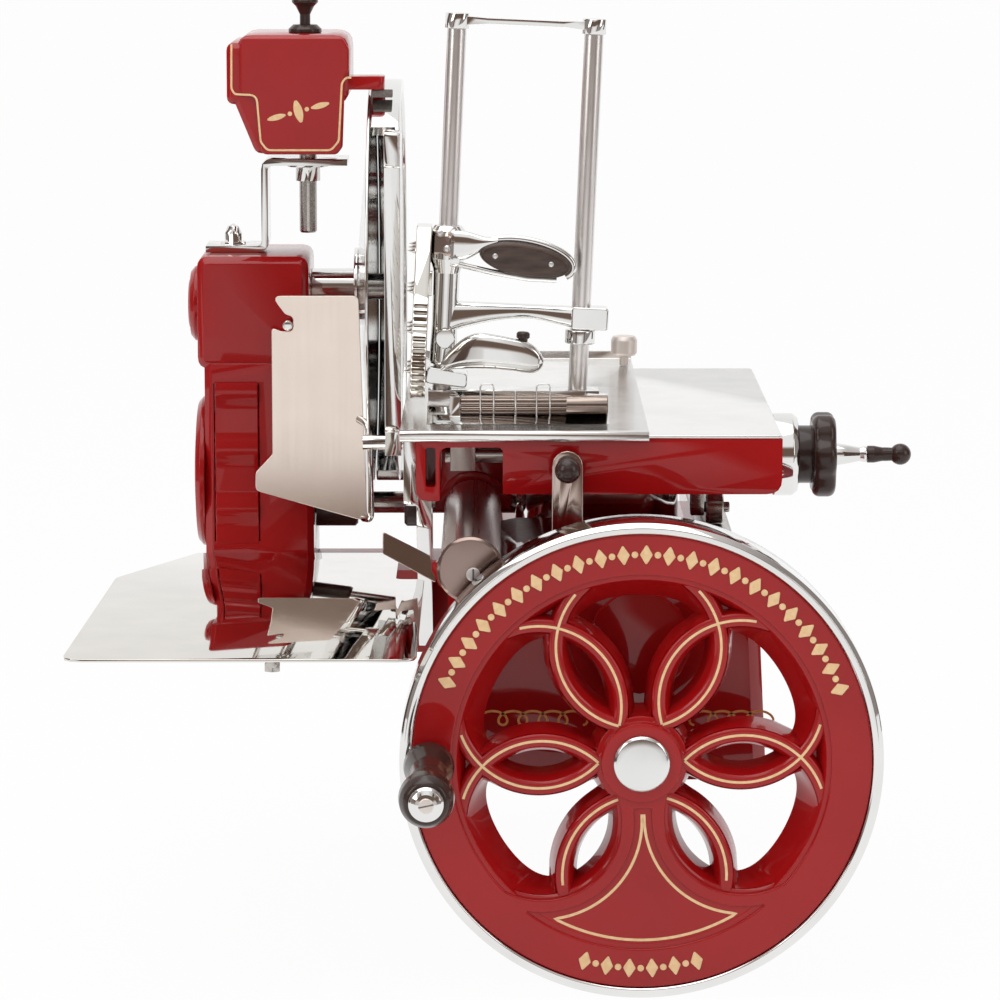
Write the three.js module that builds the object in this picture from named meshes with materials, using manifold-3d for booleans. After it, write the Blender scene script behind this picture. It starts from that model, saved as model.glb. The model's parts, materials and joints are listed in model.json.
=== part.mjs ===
// Hand crank meat slicer with a flywheel, a 300 mm blade and a sliding meat carriage.
// Millimetres, +X to the user's right, +Y away from the user, +Z up.
// The origin is the centre of the base foot. The flywheel faces -Y and turns about Y,
// the blade stands in the YZ plane on the left of the carriage and turns about X.

import * as THREE from "three";
import { mergeVertices } from "three/addons/utils/BufferGeometryUtils.js";
import Module from "manifold-3d";

const wasm = await Module();
wasm.setup();

// Driving dimensions

const seat = 0.3; // clearance between pieces that rest on or in each other
const cutMargin = 5; // how far a cutting body runs past what it cuts
const farCut = 60; // how far one runs past where nothing else stands
const facets = { pin: 10, rod: 12, shaft: 14, boss: 14, tube: 16, wheel: 32 }; // flats round a turned body

const base = { width: 200, footSpread: 7, length: 520, height: 142, wall: 8, roof: 10, corner: 34,
  edge: 9 };
const baseRear = { front: 20, roofZ: 118, rightX: 66 }; // lower deck that carries the gear housing
const arm = { height: 95, bottom: 31, front: 58, back: 162, left: -309 }; // carries the column

const drive = { x: 17, z: 27, shaftRadius: 11, bossRadius: 22, crossY: 110, crossZ: 140, crossRadius: 8.5 };
const bevelGear = { teeth: 12, lowerRadius: 23, upperRadius: 17, depth: 8, hub: 6, hubRadius: 11,
  tipShare: 0.12 };
const verticalShaft = { radius: 7, bossRadius: 14, bossBottom: 66 };
const housing = { left: -62, right: 57, front: 45, back: 175, top: 178, wall: 5, corner: 30 };

const wheel = {
  faceY: -base.length / 2 - 70, radius: 166, faceRadius: 158.6, rimDepth: 42, bandInner: 130,
    dishRadius: 117,
  dishDepth: 9, webThickness: 11, hubRadius: 27.5, hubDepth: 46, hubRaise: 2, bandWall: 9,
};
const petal = { count: 6, centreRadius: 82, ribRadius: 66, lensRadius: 46.5, raise: 6 };
const wheelOpening = { inner: 42, outer: 115, spread: 31 };
const fan = { step: 2 }; // the filled sector at the bottom lies this much behind the petals
const hubCap = { radius: 19.5, height: 7 };
const handle = { armRadius: 145.5, boltRadius: 5, collarRadius: 17.6, waistRadius: 11.5, bulbRadius: 18.8,
  length: 126, capRadius: 12, capHeight: 6 };

const blade = { y: 110, z: 309, radius: 150, faceX: -157, thickness: 4, hubRadius: 42, shaftRadius: 10 };
const guard = { inner: 151.7, outer: 160, left: -177.3, right: -155, fromAngle: -78, toAngle: 126 };
const backCover = { rimX: -177.6, hubX: -189, thickness: 2.2, outer: 159, dishRadius: 132 };
const shaftTube = { outer: 14, flangeRadius: 30, flange: 3 };

const column = { left: -311, right: -226, lowerLeft: -306, lowerRight: -223, front: 55, back: 165,
  top: 337, waist: 251, foot: arm.height + seat, corner: 9, edge: 5 };
const flutes = { left: -299, right: -264, bottom: 118, top: 240, count: 6, depth: 6 };
const chamber = { left: -300, right: -246, front: 68, back: 152, top: 331 };
const upperCover = { z: 296, radius: 29, hole: 24, height: 9 };
const lowerCover = { z: 165, radius: 58, hole: 36, height: 9 };
const chainWheel = { upperTeeth: 10, lowerTeeth: 18, pitch: 9.6, width: 5, x: -281, toothHeight: 2.4 };
const chain = { thickness: 5, width: 8, clearance: 0.6 };
const sleeve = { radius: 18.3, left: -222.7, right: -190.5 };

const tube = { x: -100.5, z: 151.5, radius: 21.3, front: -base.length / 2 - 12, back: base.length / 2 - 2,
  capRadius: 23.2, cap: 6 };
// Lower cradles of the tube
const saddle = { length: 18, frontY: -base.length / 2 + 33, backY: base.length / 2 - 32, thickness: 7,
  top: 149 };
const rail = { left: base.width / 2 - 26, right: base.width / 2 - 10, height: 8,
  front: -base.length / 2 + 25, back: base.length / 2 - 10 };
const stopPlate = { width: 21.5, thickness: 5, centreX: -33, top: 231, gap: 6, foot: 24 };
const lockBall = { z: 219, radius: 9, neck: 4.2, pin: 3.4, travel: 8 };

const carriage = { left: -139, right: 117.4, front: -base.length / 2 + 22, back: 149, bottom: 199,
  top: 238, wall: 6, corner: 9, archLeft: -122, archRight: -78 };
const topPlate = { thickness: 2 };
const clampPlate = { left: -150, right: 24, back: 190, thickness: 3, lipTop: 244.5, lipBottom: 236.6,
  lipDepth: 7.5 };
const tableKnob = { x: 17, y: 140, radius: 10.2, height: 23, stem: 3.5, neck: 8 };
// Open below, above the cross shaft and the cradles
const bushing = { y: 35, length: 50, wall: 6, underside: 150.5 };
const roller = { y: -60, radius: 12, width: 13, pin: 4, bracketLeft: rail.left - 13, bracketThickness: 10 };

const feed = { y: -116, z: 210, flangeRadius: 30, flange: 18, collarRadius: 21, collar: 10,
  screwRadius: 6 };
const feedKnob = { radius: 31.6, lobes: 6, lobeDepth: 3.2, width: 17, edge: 3 };
const feedCrank = { rootRadius: 8.2, tipRadius: 5, length: 23 };
const feedGrip = { length: 32, ballRadius: 7.8, waistRadius: 5, neckRadius: 6.2 };

const clamp = { x: -25, y: -140, lean: 2.5, postRadius: 6.85, spacing: 97.5, height: 282, bossRadius: 8.4,
  boss: 11 };
const clampFoot = { left: -clamp.spacing - 9.5, right: 22, front: -64, back: 26, height: 7, block: 17 };
const clampBar = { left: -clamp.spacing + 14.5, right: 22, y: -30, radius: 7, grooves: 3 };
// The nut block hangs under the clamp table through a slot and rides on the feed screw.
const nut = { left: -116, right: -98, halfDepth: 9, travel: 118, bottom: 11 };
const press = { columnRadius: 9.6, bore: 7.15, bottom: 31, top: 112, armBottom: 52, armTop: 75,
  armDepth: 15, armRight: 24, headRadius: 12.5, headBottom: 110, headTop: 131 };
const pressPlate = { left: -clamp.spacing - 22.5, right: -clamp.spacing - 11.5, bottom: 8, top: 130,
  reach: 52, teeth: 9, toothDepth: 6, pins: 4, mountBottom: 80, mountTop: 98 };
const grip = { pivotX: -clamp.spacing + 11.5, pivotZ: 121, gripX: -clamp.spacing + 56.5, gripZ: 107,
  halfLength: 33, halfHeight: 12, pin: 3, depth: 9,
  barJoin: 19 }; // the lower bar meets the ring this far left of the grip's centre
const paddle = { pivotX: -clamp.spacing + 5.5, pivotZ: 31, length: 67, front: -31, back: -15, pin: 3.5 };

const gauge = { left: -165, right: -153, front: -62, bottom: 218, top: 436, bladeGap: 4, corner: 6 };
const gaugeRod = { y: -46, z: 209, radius: 5.5, left: -182, right: -148 };
const gaugeBracket = { left: -151.5, middle: -142, right: -131, front: -57, foot: 40, step: 186,
  rodTop: 219, neck: 128, bend: 146 };
const thicknessKnob = { y: 12, z: 147, radius: 10, length: 10 };

const deflector = { y: 31, thickness: 1.5, left: -253, right: -187, top: 310, bottom: 161, flare: -266,
  toeZ: 137, wingRight: -181, wingDepth: 30 };
const wireHandle = { x: -191, reach: 9, radius: 2.2, bottom: 150, top: 222 };
const deflectorPin = { x: -240.5, z: 288, radius: 2.6, headRadius: 3.8 };

const tray = { left: -374, right: -136, notchFront: -70, notchRight: -157, front: -388, back: 50, z: 108,
  thickness: 2, corner: 14 };
const trayRod = { x: -233.6, radius: 3.4, bolt: 5.8, boltDrop: 10.4, boltY: -372 };

const sharpener = { left: -278, right: -193.4, top: 506, bottom: 417, front: 35, back: 140, wing: -285.7,
  edge: 4,
  shoulder: 454, neckLeft: -264, neckRight: -200 };
const pivot = { x: -228, y: 110, radius: 6.7, bottom: 351, collarRadius: 9.6, collarTop: 406 };
const zBracket = { thickness: 5, footLeft: -306, uprightX: -258, topZ: 409, front: 88, back: 132,
  topRight: -197 };
const stoneArm = { right: -167, top: 475, bottom: 465, front: 38, back: 66 };
const stone = { left: -177, right: -161, bottom: 459, top: 464.5, front: 40, back: 51 };
const pushKnob = { radius: 10, neck: 4, travel: 6, baseRadius: 9.2, base: 6, height: 20, stem: 22 };

// Colours and finishes

const enamelRed = { color: 0xa51018, roughness: 0.18, metalness: 0.1 };
const chrome = { color: 0xd9d9d7, roughness: 0.07, metalness: 1 };
const steel = { color: 0xb7b5b1, roughness: 0.3, metalness: 1 };
const satinSteel = { color: 0xe3d9cf, roughness: 0.35, metalness: 0.9 };
const darkPlastic = { color: 0x3e2e2c, roughness: 0.25, metalness: 0 };
const brownPlastic = { color: 0x55463f, roughness: 0.45, metalness: 0 };
const stoneGrey = { color: 0x6d625c, roughness: 0.9, metalness: 0 };
const bronze = { color: 0x9a7038, roughness: 0.35, metalness: 1 };

// Helpers: solids, joins and cuts

const slicer = new THREE.Group();

// A closed geometry as a solid: doubled points are merged, triangles without area dropped,
// and the faces turned outwards.
function toSolid(geometry) {
  const bare = geometry.index ? geometry.toNonIndexed() : geometry.clone();
  bare.deleteAttribute("normal");
  bare.deleteAttribute("uv");
  const merged = mergeVertices(bare, 1e-4);
  const points = merged.attributes.position;
  const corner = (i) => new THREE.Vector3().fromBufferAttribute(points, i);
  const triangles = [];
  let volume = 0;
  for (let i = 0; i < merged.index.count; i += 3) {
    const [a, b, c] = [0, 1, 2].map((k) => merged.index.getX(i + k));
    if (a === b || b === c || c === a) continue;
    triangles.push([a, b, c]);
    volume += corner(a).dot(corner(b).cross(corner(c)));
  }
  const outward = volume < 0 ? triangles.map(([a, b, c]) => [a, c, b]) : triangles;
  return new wasm.Manifold(
    new wasm.Mesh({ numProp: 3, vertProperties: points.array, triVerts: new Uint32Array(outward.flat()) }),
  );
}

function toGeometry(solid) {
  const mesh = solid.getMesh();
  const geometry = new THREE.BufferGeometry();
  geometry.setAttribute("position", new THREE.BufferAttribute(new Float32Array(mesh.vertProperties), 3));
  geometry.setIndex(new THREE.BufferAttribute(new Uint32Array(mesh.triVerts), 1));
  geometry.computeVertexNormals();
  return geometry;
}

const join = (first, ...others) => others.reduce((sum, other) => sum.add(other), first);
const cut = (first, ...others) => others.reduce((rest, other) => rest.subtract(other), first);

function addPiece(name, solid, finish, parent = slicer) {
  const mesh = new THREE.Mesh(toGeometry(solid), new THREE.MeshStandardMaterial(finish));
  mesh.name = name;
  parent.add(mesh);
  return mesh;
}

// Helpers: outlines

// A closed outline through corner points [a, b, radius]; corners with a radius are rounded.
function outline(corners) {
  const shape = new THREE.Shape();
  corners.forEach((corner, i) => {
    const here = new THREE.Vector2(corner[0], corner[1]);
    const before = corners[(i + corners.length - 1) % corners.length];
    const after = corners[(i + 1) % corners.length];
    const radius = corner[2] ?? 0;
    const start = i === 0 ? "moveTo" : "lineTo";
    if (!radius) {
      shape[start](here.x, here.y);
      return;
    }
    const back = new THREE.Vector2(before[0], before[1]).sub(here).normalize();
    const ahead = new THREE.Vector2(after[0], after[1]).sub(here).normalize();
    const reach = radius / Math.tan(Math.acos(back.dot(ahead)) / 2);
    const enter = here.clone().addScaledVector(back, reach);
    const leave = here.clone().addScaledVector(ahead, reach);
    shape[start](enter.x, enter.y);
    shape.quadraticCurveTo(here.x, here.y, leave.x, leave.y);
  });
  shape.closePath();
  return shape;
}

const rectangle = (a0, b0, a1, b1, radius = 0) =>
  outline([[a0, b0, radius], [a1, b0, radius], [a1, b1, radius], [a0, b1, radius]]);

const circle = (a, b, radius) => new THREE.Shape().absarc(a, b, radius, 0, 2 * Math.PI, false);

// Points of an arc from one angle to another, both in degrees.
function arcPoints(a, b, radius, fromDegrees, toDegrees, steps) {
  return Array.from({ length: steps + 1 }, (_, i) => {
    const angle = THREE.MathUtils.degToRad(fromDegrees + ((toDegrees - fromDegrees) * i) / steps);
    return [a + radius * Math.cos(angle), b + radius * Math.sin(angle)];
  });
}

// Helpers: bodies swept along an axis

function extruded(shape, depth, edge, steps) {
  return new THREE.ExtrudeGeometry(shape, {
    depth: depth - 2 * edge,
    bevelEnabled: edge > 0,
    bevelThickness: edge,
    bevelSize: edge,
    bevelOffset: -edge,
    bevelSegments: 1,
    curveSegments: steps,
  }).translate(0, 0, edge);
}

// An outline in (x, z), swept along Y.
const alongY = (shape, from, to, edge = 0, steps = 3) =>
  toSolid(extruded(shape, to - from, edge, steps).rotateX(Math.PI / 2).translate(0, to, 0));

// An outline in (y, z), swept along X.
const toYZ = new THREE.Matrix4().set(0, 0, 1, 0, 1, 0, 0, 0, 0, 1, 0, 0, 0, 0, 0, 1);
const alongX = (shape, from, to, edge = 0, steps = 3) =>
  toSolid(extruded(shape, to - from, edge, steps).applyMatrix4(toYZ).translate(from, 0, 0));

// An outline in (x, y), swept along Z.
const alongZ = (shape, from, to, edge = 0, steps = 3) =>
  toSolid(extruded(shape, to - from, edge, steps).translate(0, 0, from));

// A turned body from profile points [radius, distance along the axis], listed anticlockwise.
function turned(profile, segments) {
  const points = profile.map(([radius, along]) => new THREE.Vector2(radius, along));
  return new THREE.LatheGeometry(points, segments);
}

const turnedZ = (profile, x, y, segments = facets.shaft) =>
  toSolid(turned(profile, segments).rotateX(Math.PI / 2).translate(x, y, 0));
const turnedY = (profile, x, z, segments = facets.shaft) => toSolid(turned(profile, segments).translate(x,
  0, z));
const turnedX = (profile, y, z, segments = facets.shaft) =>
  toSolid(turned(profile, segments).rotateZ(-Math.PI / 2).translate(0, y, z));

const rod = (radius, from, to) => [[0, from], [radius, from], [radius, to], [0, to]];
const rodX = (y, z, radius, from, to, segments = facets.shaft) => turnedX(rod(radius, from, to), y, z,
  segments);
const rodY = (x, z, radius, from, to, segments = facets.shaft) => turnedY(rod(radius, from, to), x, z,
  segments);
const rodZ = (x, y, radius, from, to, segments = facets.shaft) => turnedZ(rod(radius, from, to), x, y,
  segments);

function box(x0, y0, z0, x1, y1, z1) {
  return alongZ(rectangle(x0, y0, x1, y1), z0, z1);
}

// Helpers: toothed wheels

// Outline of a toothed wheel round (0, 0): each tooth is a trapezium, or a point where tipShare is 0.
function toothedOutline(teeth, rootRadius, tipRadius, phase, tipShare) {
  const corners = [];
  const pitchAngle = 360 / teeth;
  const rootShare = tipShare + 0.17;
  const tips = tipShare ? [[-tipShare, tipRadius], [tipShare, tipRadius]] : [[0, tipRadius]];
  const share = [[-rootShare, rootRadius], ...tips, [rootShare, rootRadius]];
  for (let i = 0; i < teeth; i++) {
    for (const [offset, radius] of share) {
      const angle = THREE.MathUtils.degToRad((i + phase + offset) * pitchAngle);
      corners.push([radius * Math.cos(angle), radius * Math.sin(angle)]);
    }
  }
  return corners;
}

// A 45 degree bevel gear about Z with its cone apex at the origin and its back at -radius.
function bevelGearSolid(radius, phase) {
  const addendum = radius * 0.07;
  const ring = toothedOutline(bevelGear.teeth, radius - 1.4 * addendum, radius + addendum, phase,
    bevelGear.tipShare);
  const shrink = (radius - bevelGear.depth) / radius;
  const positions = [];
  const push = (x, y, z) => positions.push(x, y, z);
  ring.forEach((here, i) => {
    const next = ring[(i + 1) % ring.length];
    const quad = [
      [here[0], here[1], -radius],
      [next[0], next[1], -radius],
      [next[0] * shrink, next[1] * shrink, -radius * shrink],
      [here[0] * shrink, here[1] * shrink, -radius * shrink],
    ];
    [0, 1, 2, 0, 2, 3].forEach((k) => push(...quad[k]));
    [[0, 0, -radius], quad[1], quad[0]].forEach((p) => push(...p));
    [[0, 0, -radius * shrink], quad[3], quad[2]].forEach((p) => push(...p));
  });
  const geometry = new THREE.BufferGeometry();
  geometry.setAttribute("position", new THREE.Float32BufferAttribute(positions, 3));
  const hub = rodZ(0, 0, Math.min(bevelGear.hubRadius, radius * 0.62), -radius - bevelGear.hub,
    -radius + 1, facets.rod);
  return join(toSolid(geometry), hub);
}

const bored = (gear, radius, bore) => cut(gear, rodZ(0, 0, bore, -radius - bevelGear.hub - cutMargin, 0,
  facets.rod));

// Base, column and what stands on them

const railSeatZ = base.height + seat;

function baseCasting() {
  const half = base.width / 2;
  const foot = half + base.footSpread;
  const below = -base.edge - cutMargin; // the bevelled lower edge lies under the foot and is cut off
  const outer = alongY(
    outline([[-foot, below], [foot, below], [foot, 0], [half, base.height, base.corner],
    [-half, base.height, base.corner],
      [-foot, 0]]),
    -base.length / 2, base.length / 2, base.edge, 3);
  const inner = half - base.wall;
  const innerFoot = foot - base.wall;
  const hollow = (from, to, roofZ) =>
    alongY(outline([[-innerFoot, below], [innerFoot, below], [innerFoot, 0],
      [inner, roofZ, base.corner / 2],
      [-inner, roofZ, base.corner / 2], [-innerFoot, 0]]), from, to, 0, 2);
  const rear = base.length / 2;
  const webHalf = base.wall / 2; // a cross web stands in the middle of the foot
  const frontHollow = hollow(-rear + base.wall, -webHalf, base.height - base.roof);
  const rearHollow = hollow(webHalf, rear - base.wall, baseRear.roofZ - base.roof);
  const deckCut = box(-foot - farCut, baseRear.front, baseRear.roofZ, baseRear.rightX, rear + cutMargin,
    base.height + farCut);
  const underCut = box(-foot - farCut, -rear - farCut, below - farCut, foot + farCut, rear + farCut, 0);

  const armBody = box(arm.left, arm.front, arm.bottom, -half + base.wall, arm.back, arm.height);
  const armHollow = box(arm.left + base.wall, arm.front + base.wall, arm.bottom - cutMargin,
    -half + base.wall + cutMargin, arm.back - base.wall, arm.height - base.wall);
  const nose = rodY(drive.x, drive.z + 72, 36, -rear - 9, -rear + base.wall, facets.boss);
  const shaftBoss = rodY(drive.x, drive.z, drive.bossRadius, -rear - 14, -rear + 30, facets.boss);
  const verticalBoss = rodZ(drive.x, drive.crossY, verticalShaft.bossRadius, verticalShaft.bossBottom,
    baseRear.roofZ - 2, facets.rod);
  const saddleRadius = tube.radius + saddle.thickness;
  const saddleAt = (y) => {
    const from = y - saddle.length / 2;
    const to = y + saddle.length / 2;
    const ring = rodY(tube.x, tube.z, saddleRadius, from, to, facets.shaft);
    const openTop = box(tube.x - farCut, from - cutMargin, saddle.top, tube.x + farCut, to + cutMargin,
      saddle.top + farCut);
    return join(cut(ring, openTop), box(tube.x - 16, from, baseRear.roofZ - 34, -inner + 14, to,
      tube.z - 10));
  };

  const shaftHole = rodY(drive.x, drive.z, drive.shaftRadius + seat, -rear - farCut, webHalf + cutMargin,
    facets.shaft);
  const verticalHole = rodZ(drive.x, drive.crossY, verticalShaft.radius + seat, 0, base.height, facets.rod);
  const gearWell = rodZ(drive.x, drive.crossY, bevelGear.upperRadius + 5, baseRear.roofZ - 4.5,
    base.height, facets.shaft);
  const tubeHole = rodY(tube.x, tube.z, tube.radius + seat, -rear - farCut, rear + farCut, facets.tube);

  const shell = cut(outer, frontHollow, rearHollow, deckCut, underCut);
  const armShell = cut(armBody, armHollow);
  const saddles = join(saddleAt(saddle.frontY), saddleAt(saddle.backY));
  return cut(join(shell, armShell, nose, shaftBoss, verticalBoss, saddles),
    shaftHole, verticalHole, gearWell, tubeHole, underCut);
}

function columnCasting() {
  const head = alongY(rectangle(column.left, column.waist, column.right, column.top, column.corner),
    column.front, column.back, column.edge, 4);
  const lower = alongY(rectangle(column.lowerLeft, column.foot - 2 * column.edge, column.lowerRight,
    column.waist + column.corner), column.front, column.back, column.edge);
  const footCut = box(column.left - cutMargin, column.front - cutMargin, 0, column.right + 2 * cutMargin,
    column.back + cutMargin, column.foot);
  const body = cut(join(head, lower), footCut);
  const well = box(chamber.left, chamber.front, column.foot - cutMargin, chamber.right, chamber.back,
    chamber.top);
  const fluteHeight = (flutes.top - flutes.bottom) / flutes.count;
  const recess = box(flutes.left, column.front - cutMargin, flutes.bottom, flutes.right,
    column.front + flutes.depth,
    flutes.top);
  const ribs = Array.from({ length: flutes.count }, (_, i) =>
    rodX(column.front + flutes.depth + 5, flutes.bottom + (i + 0.5) * fluteHeight, fluteHeight * 0.44,
      flutes.left - 1, flutes.right + 1, facets.pin));
  const upperHole = rodX(blade.y, upperCover.z, upperCover.hole, column.left - cutMargin, chamber.left + 1,
    facets.tube);
  const lowerHole = rodX(blade.y, lowerCover.z, lowerCover.hole, column.left - cutMargin, chamber.left + 1,
    facets.tube);
  const bladeBore = rodX(blade.y, blade.z, blade.shaftRadius + seat, chamber.right - 1,
    column.right + cutMargin, facets.shaft);
  const crossBore = rodX(drive.crossY, drive.crossZ, drive.crossRadius + seat, chamber.right - 1,
    column.lowerRight + cutMargin, facets.shaft);
  return cut(join(cut(body, recess), ...ribs), well, upperHole, lowerHole, bladeBore, crossBore);
}

function roundCover(cover, wallX) {
  const outer = wallX - seat;
  const rim = cover.radius;
  return turnedX([[0, outer - cover.height], [rim * 0.62, outer - cover.height],
    [rim * 0.7, outer - cover.height + 1.5],
    [rim - 4, outer - cover.height + 1.5], [rim, outer - cover.height + 5], [rim, outer],
    [cover.hole - seat, outer],
    [cover.hole - seat, outer + 4], [cover.hole - 5, outer + 4], [cover.hole - 5, outer - 1],
    [0, outer - 1]],
    blade.y, cover.z, facets.tube);
}

function gearHousing() {
  const { left, right, front, back, top, wall, corner } = housing;
  const bottom = baseRear.roofZ + seat;
  const outer = alongZ(rectangle(left, front, right, back, corner), bottom, top, 5, 3);
  const low = alongZ(rectangle(left, front, right, back, corner), bottom, bottom + 12, 0, 3);
  const inner = alongZ(rectangle(left + wall, front + wall, right - wall, back - wall, corner - wall),
    bottom - cutMargin, top - wall, 0, 2);
  const crossHole = rodX(drive.crossY, drive.crossZ, drive.crossRadius + seat, left - 6 - cutMargin,
    left + wall + 12, facets.shaft);
  const bearing = rodX(drive.crossY, drive.crossZ, drive.crossRadius + 6, left - 6, left + wall + 6,
    facets.shaft);
  return cut(join(cut(join(outer, low), inner), bearing), crossHole);
}

function stopPlatePiece() {
  const y1 = carriage.front - stopPlate.gap;
  const y0 = y1 - stopPlate.thickness;
  const half = stopPlate.width / 2;
  const bottom = base.height + seat;
  const face = [[stopPlate.centreX + half, bottom]];
  const arc = arcPoints(stopPlate.centreX, stopPlate.top - half, half, 0, 180, 8);
  const plate = alongY(outline([...face, ...arc, [stopPlate.centreX - half, bottom]]), y0, y1);
  const foot = box(stopPlate.centreX - half, y0, bottom, stopPlate.centreX + half, y1 + stopPlate.foot,
    bottom + stopPlate.thickness);
  const hole = rodY(stopPlate.centreX, lockBall.z, lockBall.pin + seat, y0 - cutMargin, y1 + cutMargin,
    facets.pin);
  return cut(join(plate, foot), hole);
}

function lockBallPiece() {
  const plateBack = carriage.front - stopPlate.gap;
  const plateFront = plateBack - stopPlate.thickness;
  const neckEnd = plateFront - seat - 1;
  const centre = neckEnd - 2 - lockBall.radius * 0.92;
  const ball = arcPoints(0, centre, lockBall.radius, -90, 62, 6);
  return turnedY([...ball, [lockBall.neck, neckEnd], [lockBall.pin, neckEnd],
    [lockBall.pin, carriage.front + 3],
    [0, carriage.front + 3]], stopPlate.centreX, lockBall.z, facets.rod);
}

function bodyPieces() {
  addPiece("base_casting", baseCasting(), enamelRed);
  addPiece("column_casting", columnCasting(), enamelRed);
  addPiece("column_upper_cover", roundCover(upperCover, column.left), enamelRed);
  addPiece("column_lower_cover", roundCover(lowerCover, column.lowerLeft), enamelRed);
  addPiece("gear_housing", gearHousing(), chrome);
  const capBack = tube.front + 1;
  const slot = box(tube.x - 7, capBack - tube.cap - cutMargin, tube.z - 0.9, tube.x + 7,
    capBack - tube.cap + 1.2,
    tube.z + 0.9);
  const cap = turnedY([[0, capBack - tube.cap], [5.5, capBack - tube.cap], [6, capBack - tube.cap + 1],
    [tube.capRadius - 2, capBack - tube.cap + 1], [tube.capRadius, capBack - tube.cap + 3],
    [tube.capRadius, capBack],
    [0, capBack]], tube.x, tube.z, facets.tube);
  const tubeBody = rodY(tube.x, tube.z, tube.radius, tube.front, tube.back, facets.tube);
  const crossWay = rodX(drive.crossY, drive.crossZ, drive.crossRadius + 1, tube.x - farCut, tube.x + farCut,
    facets.shaft);
  addPiece("guide_tube", cut(join(tubeBody, cut(cap, slot)), crossWay), chrome);
  addPiece("support_rail", box(rail.left, rail.front, railSeatZ, rail.right, rail.back,
    railSeatZ + rail.height), steel);
  addPiece("stop_plate", stopPlatePiece(), steel);
  addPiece("lock_ball", lockBallPiece(), darkPlastic);
}

// Drive: flywheel shaft, bevel gears, cross shaft, chain wheels

function drivePieces() {
  const lower = bevelGear.lowerRadius;
  const upper = bevelGear.upperRadius;
  const place = (solid, matrix) => solid.transform(matrix.elements);
  const move = (x, y, z) => new THREE.Matrix4().makeTranslation(x, y, z);
  const turnX = (degrees) => new THREE.Matrix4().makeRotationX(THREE.MathUtils.degToRad(degrees));
  const turnY = (degrees) => new THREE.Matrix4().makeRotationY(THREE.MathUtils.degToRad(degrees));

  const wheelFront = wheel.faceY - wheel.hubRaise;
  const shaftEnd = drive.crossY - lower;
  const shaft = turnedY([[0, wheelFront + 4], [drive.shaftRadius - 2, wheelFront + 4],
    [drive.shaftRadius - 2, wheel.faceY + wheel.hubDepth],
    [drive.shaftRadius, wheel.faceY + wheel.hubDepth],
    [drive.shaftRadius, shaftEnd], [0, shaftEnd]], drive.x, drive.z, facets.boss);
  const lowerApex = move(drive.x, drive.crossY, drive.z);
  const flywheelGear = place(bevelGearSolid(lower, 0), lowerApex.clone().multiply(turnX(-90)));
  addPiece("flywheel_shaft", join(shaft, flywheelGear), steel);
  const lowerGear = place(bevelGearSolid(lower, 0.5), lowerApex.clone().multiply(turnX(180)));

  const upperApex = move(drive.x, drive.crossY, drive.crossZ);
  const shaftBottom = drive.z + lower;
  const shaftTop = drive.crossZ - upper;
  const vertical = turnedZ([[0, shaftBottom], [verticalShaft.radius, shaftBottom],
    [verticalShaft.radius, shaftTop - bevelGear.hub - seat],
    [verticalShaft.radius - 2, shaftTop - bevelGear.hub - seat],
    [verticalShaft.radius - 2, shaftTop], [0, shaftTop]], drive.x, drive.crossY, facets.rod);
  addPiece("vertical_shaft", join(vertical, lowerGear), steel);
  const upperGear = bored(bevelGearSolid(upper, 0.5), upper, verticalShaft.radius - 2 + seat);
  addPiece("upper_bevel_gear", place(upperGear, upperApex), bronze);
  const crossGear = bored(bevelGearSolid(upper, 0), upper, drive.crossRadius - 2 + seat);
  addPiece("cross_bevel_gear", place(crossGear, upperApex.clone().multiply(turnY(90))), bronze);

  const crossRight = drive.x - upper;
  const neck = crossRight - bevelGear.hub - seat;
  const wheelLeft = chainWheel.x - chainWheel.width / 2;
  const crossShaft = turnedX([[0, wheelLeft - 3], [drive.crossRadius, wheelLeft - 3],
    [drive.crossRadius, neck],
    [drive.crossRadius - 2, neck], [drive.crossRadius - 2, crossRight], [0, crossRight]],
    drive.crossY, drive.crossZ, facets.shaft);
  addPiece("cross_shaft", join(crossShaft, chainWheelDisc(chainWheel.lowerTeeth, drive.crossY,
    drive.crossZ)), steel);
  const sleevePiece = turnedX([[drive.crossRadius + seat, sleeve.left], [sleeve.radius, sleeve.left],
    [sleeve.radius, sleeve.right - 2], [sleeve.radius - 2, sleeve.right],
    [drive.crossRadius + seat, sleeve.right],
    [drive.crossRadius + seat, sleeve.left]], drive.crossY, drive.crossZ, facets.boss);
  addPiece("shaft_sleeve", sleevePiece, brownPlastic);
  addPiece("drive_chain", chainPiece(), steel);
}

const wheelRadius = (teeth) => (teeth * chainWheel.pitch) / (2 * Math.PI);

function chainWheelDisc(teeth, y, z) {
  const radius = wheelRadius(teeth);
  const points = toothedOutline(teeth, radius - chainWheel.toothHeight, radius, 0, 0);
  const from = chainWheel.x - chainWheel.width / 2;
  const to = chainWheel.x + chainWheel.width / 2;
  return alongX(outline(points.map(([a, b]) => [y + a, z + b])), from, to);
}

// The chain runs round both wheels on their outer tangents.
function chainPiece() {
  const upperRadius = wheelRadius(chainWheel.upperTeeth) + chain.clearance;
  const lowerRadius = wheelRadius(chainWheel.lowerTeeth) + chain.clearance;
  const distance = blade.z - drive.crossZ;
  const tilt = THREE.MathUtils.radToDeg(Math.asin((lowerRadius - upperRadius) / distance));
  const loop = (grow) => outline([
    ...arcPoints(blade.y, blade.z, upperRadius + grow, tilt, 180 - tilt, 12),
    ...arcPoints(blade.y, drive.crossZ, lowerRadius + grow, 180 - tilt, 360 + tilt, 18)]);
  const from = chainWheel.x - chain.width / 2;
  const to = chainWheel.x + chain.width / 2;
  return cut(alongX(loop(chain.thickness), from, to), alongX(loop(0), from - cutMargin, to + cutMargin));
}

// Flywheel and its handle

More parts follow.
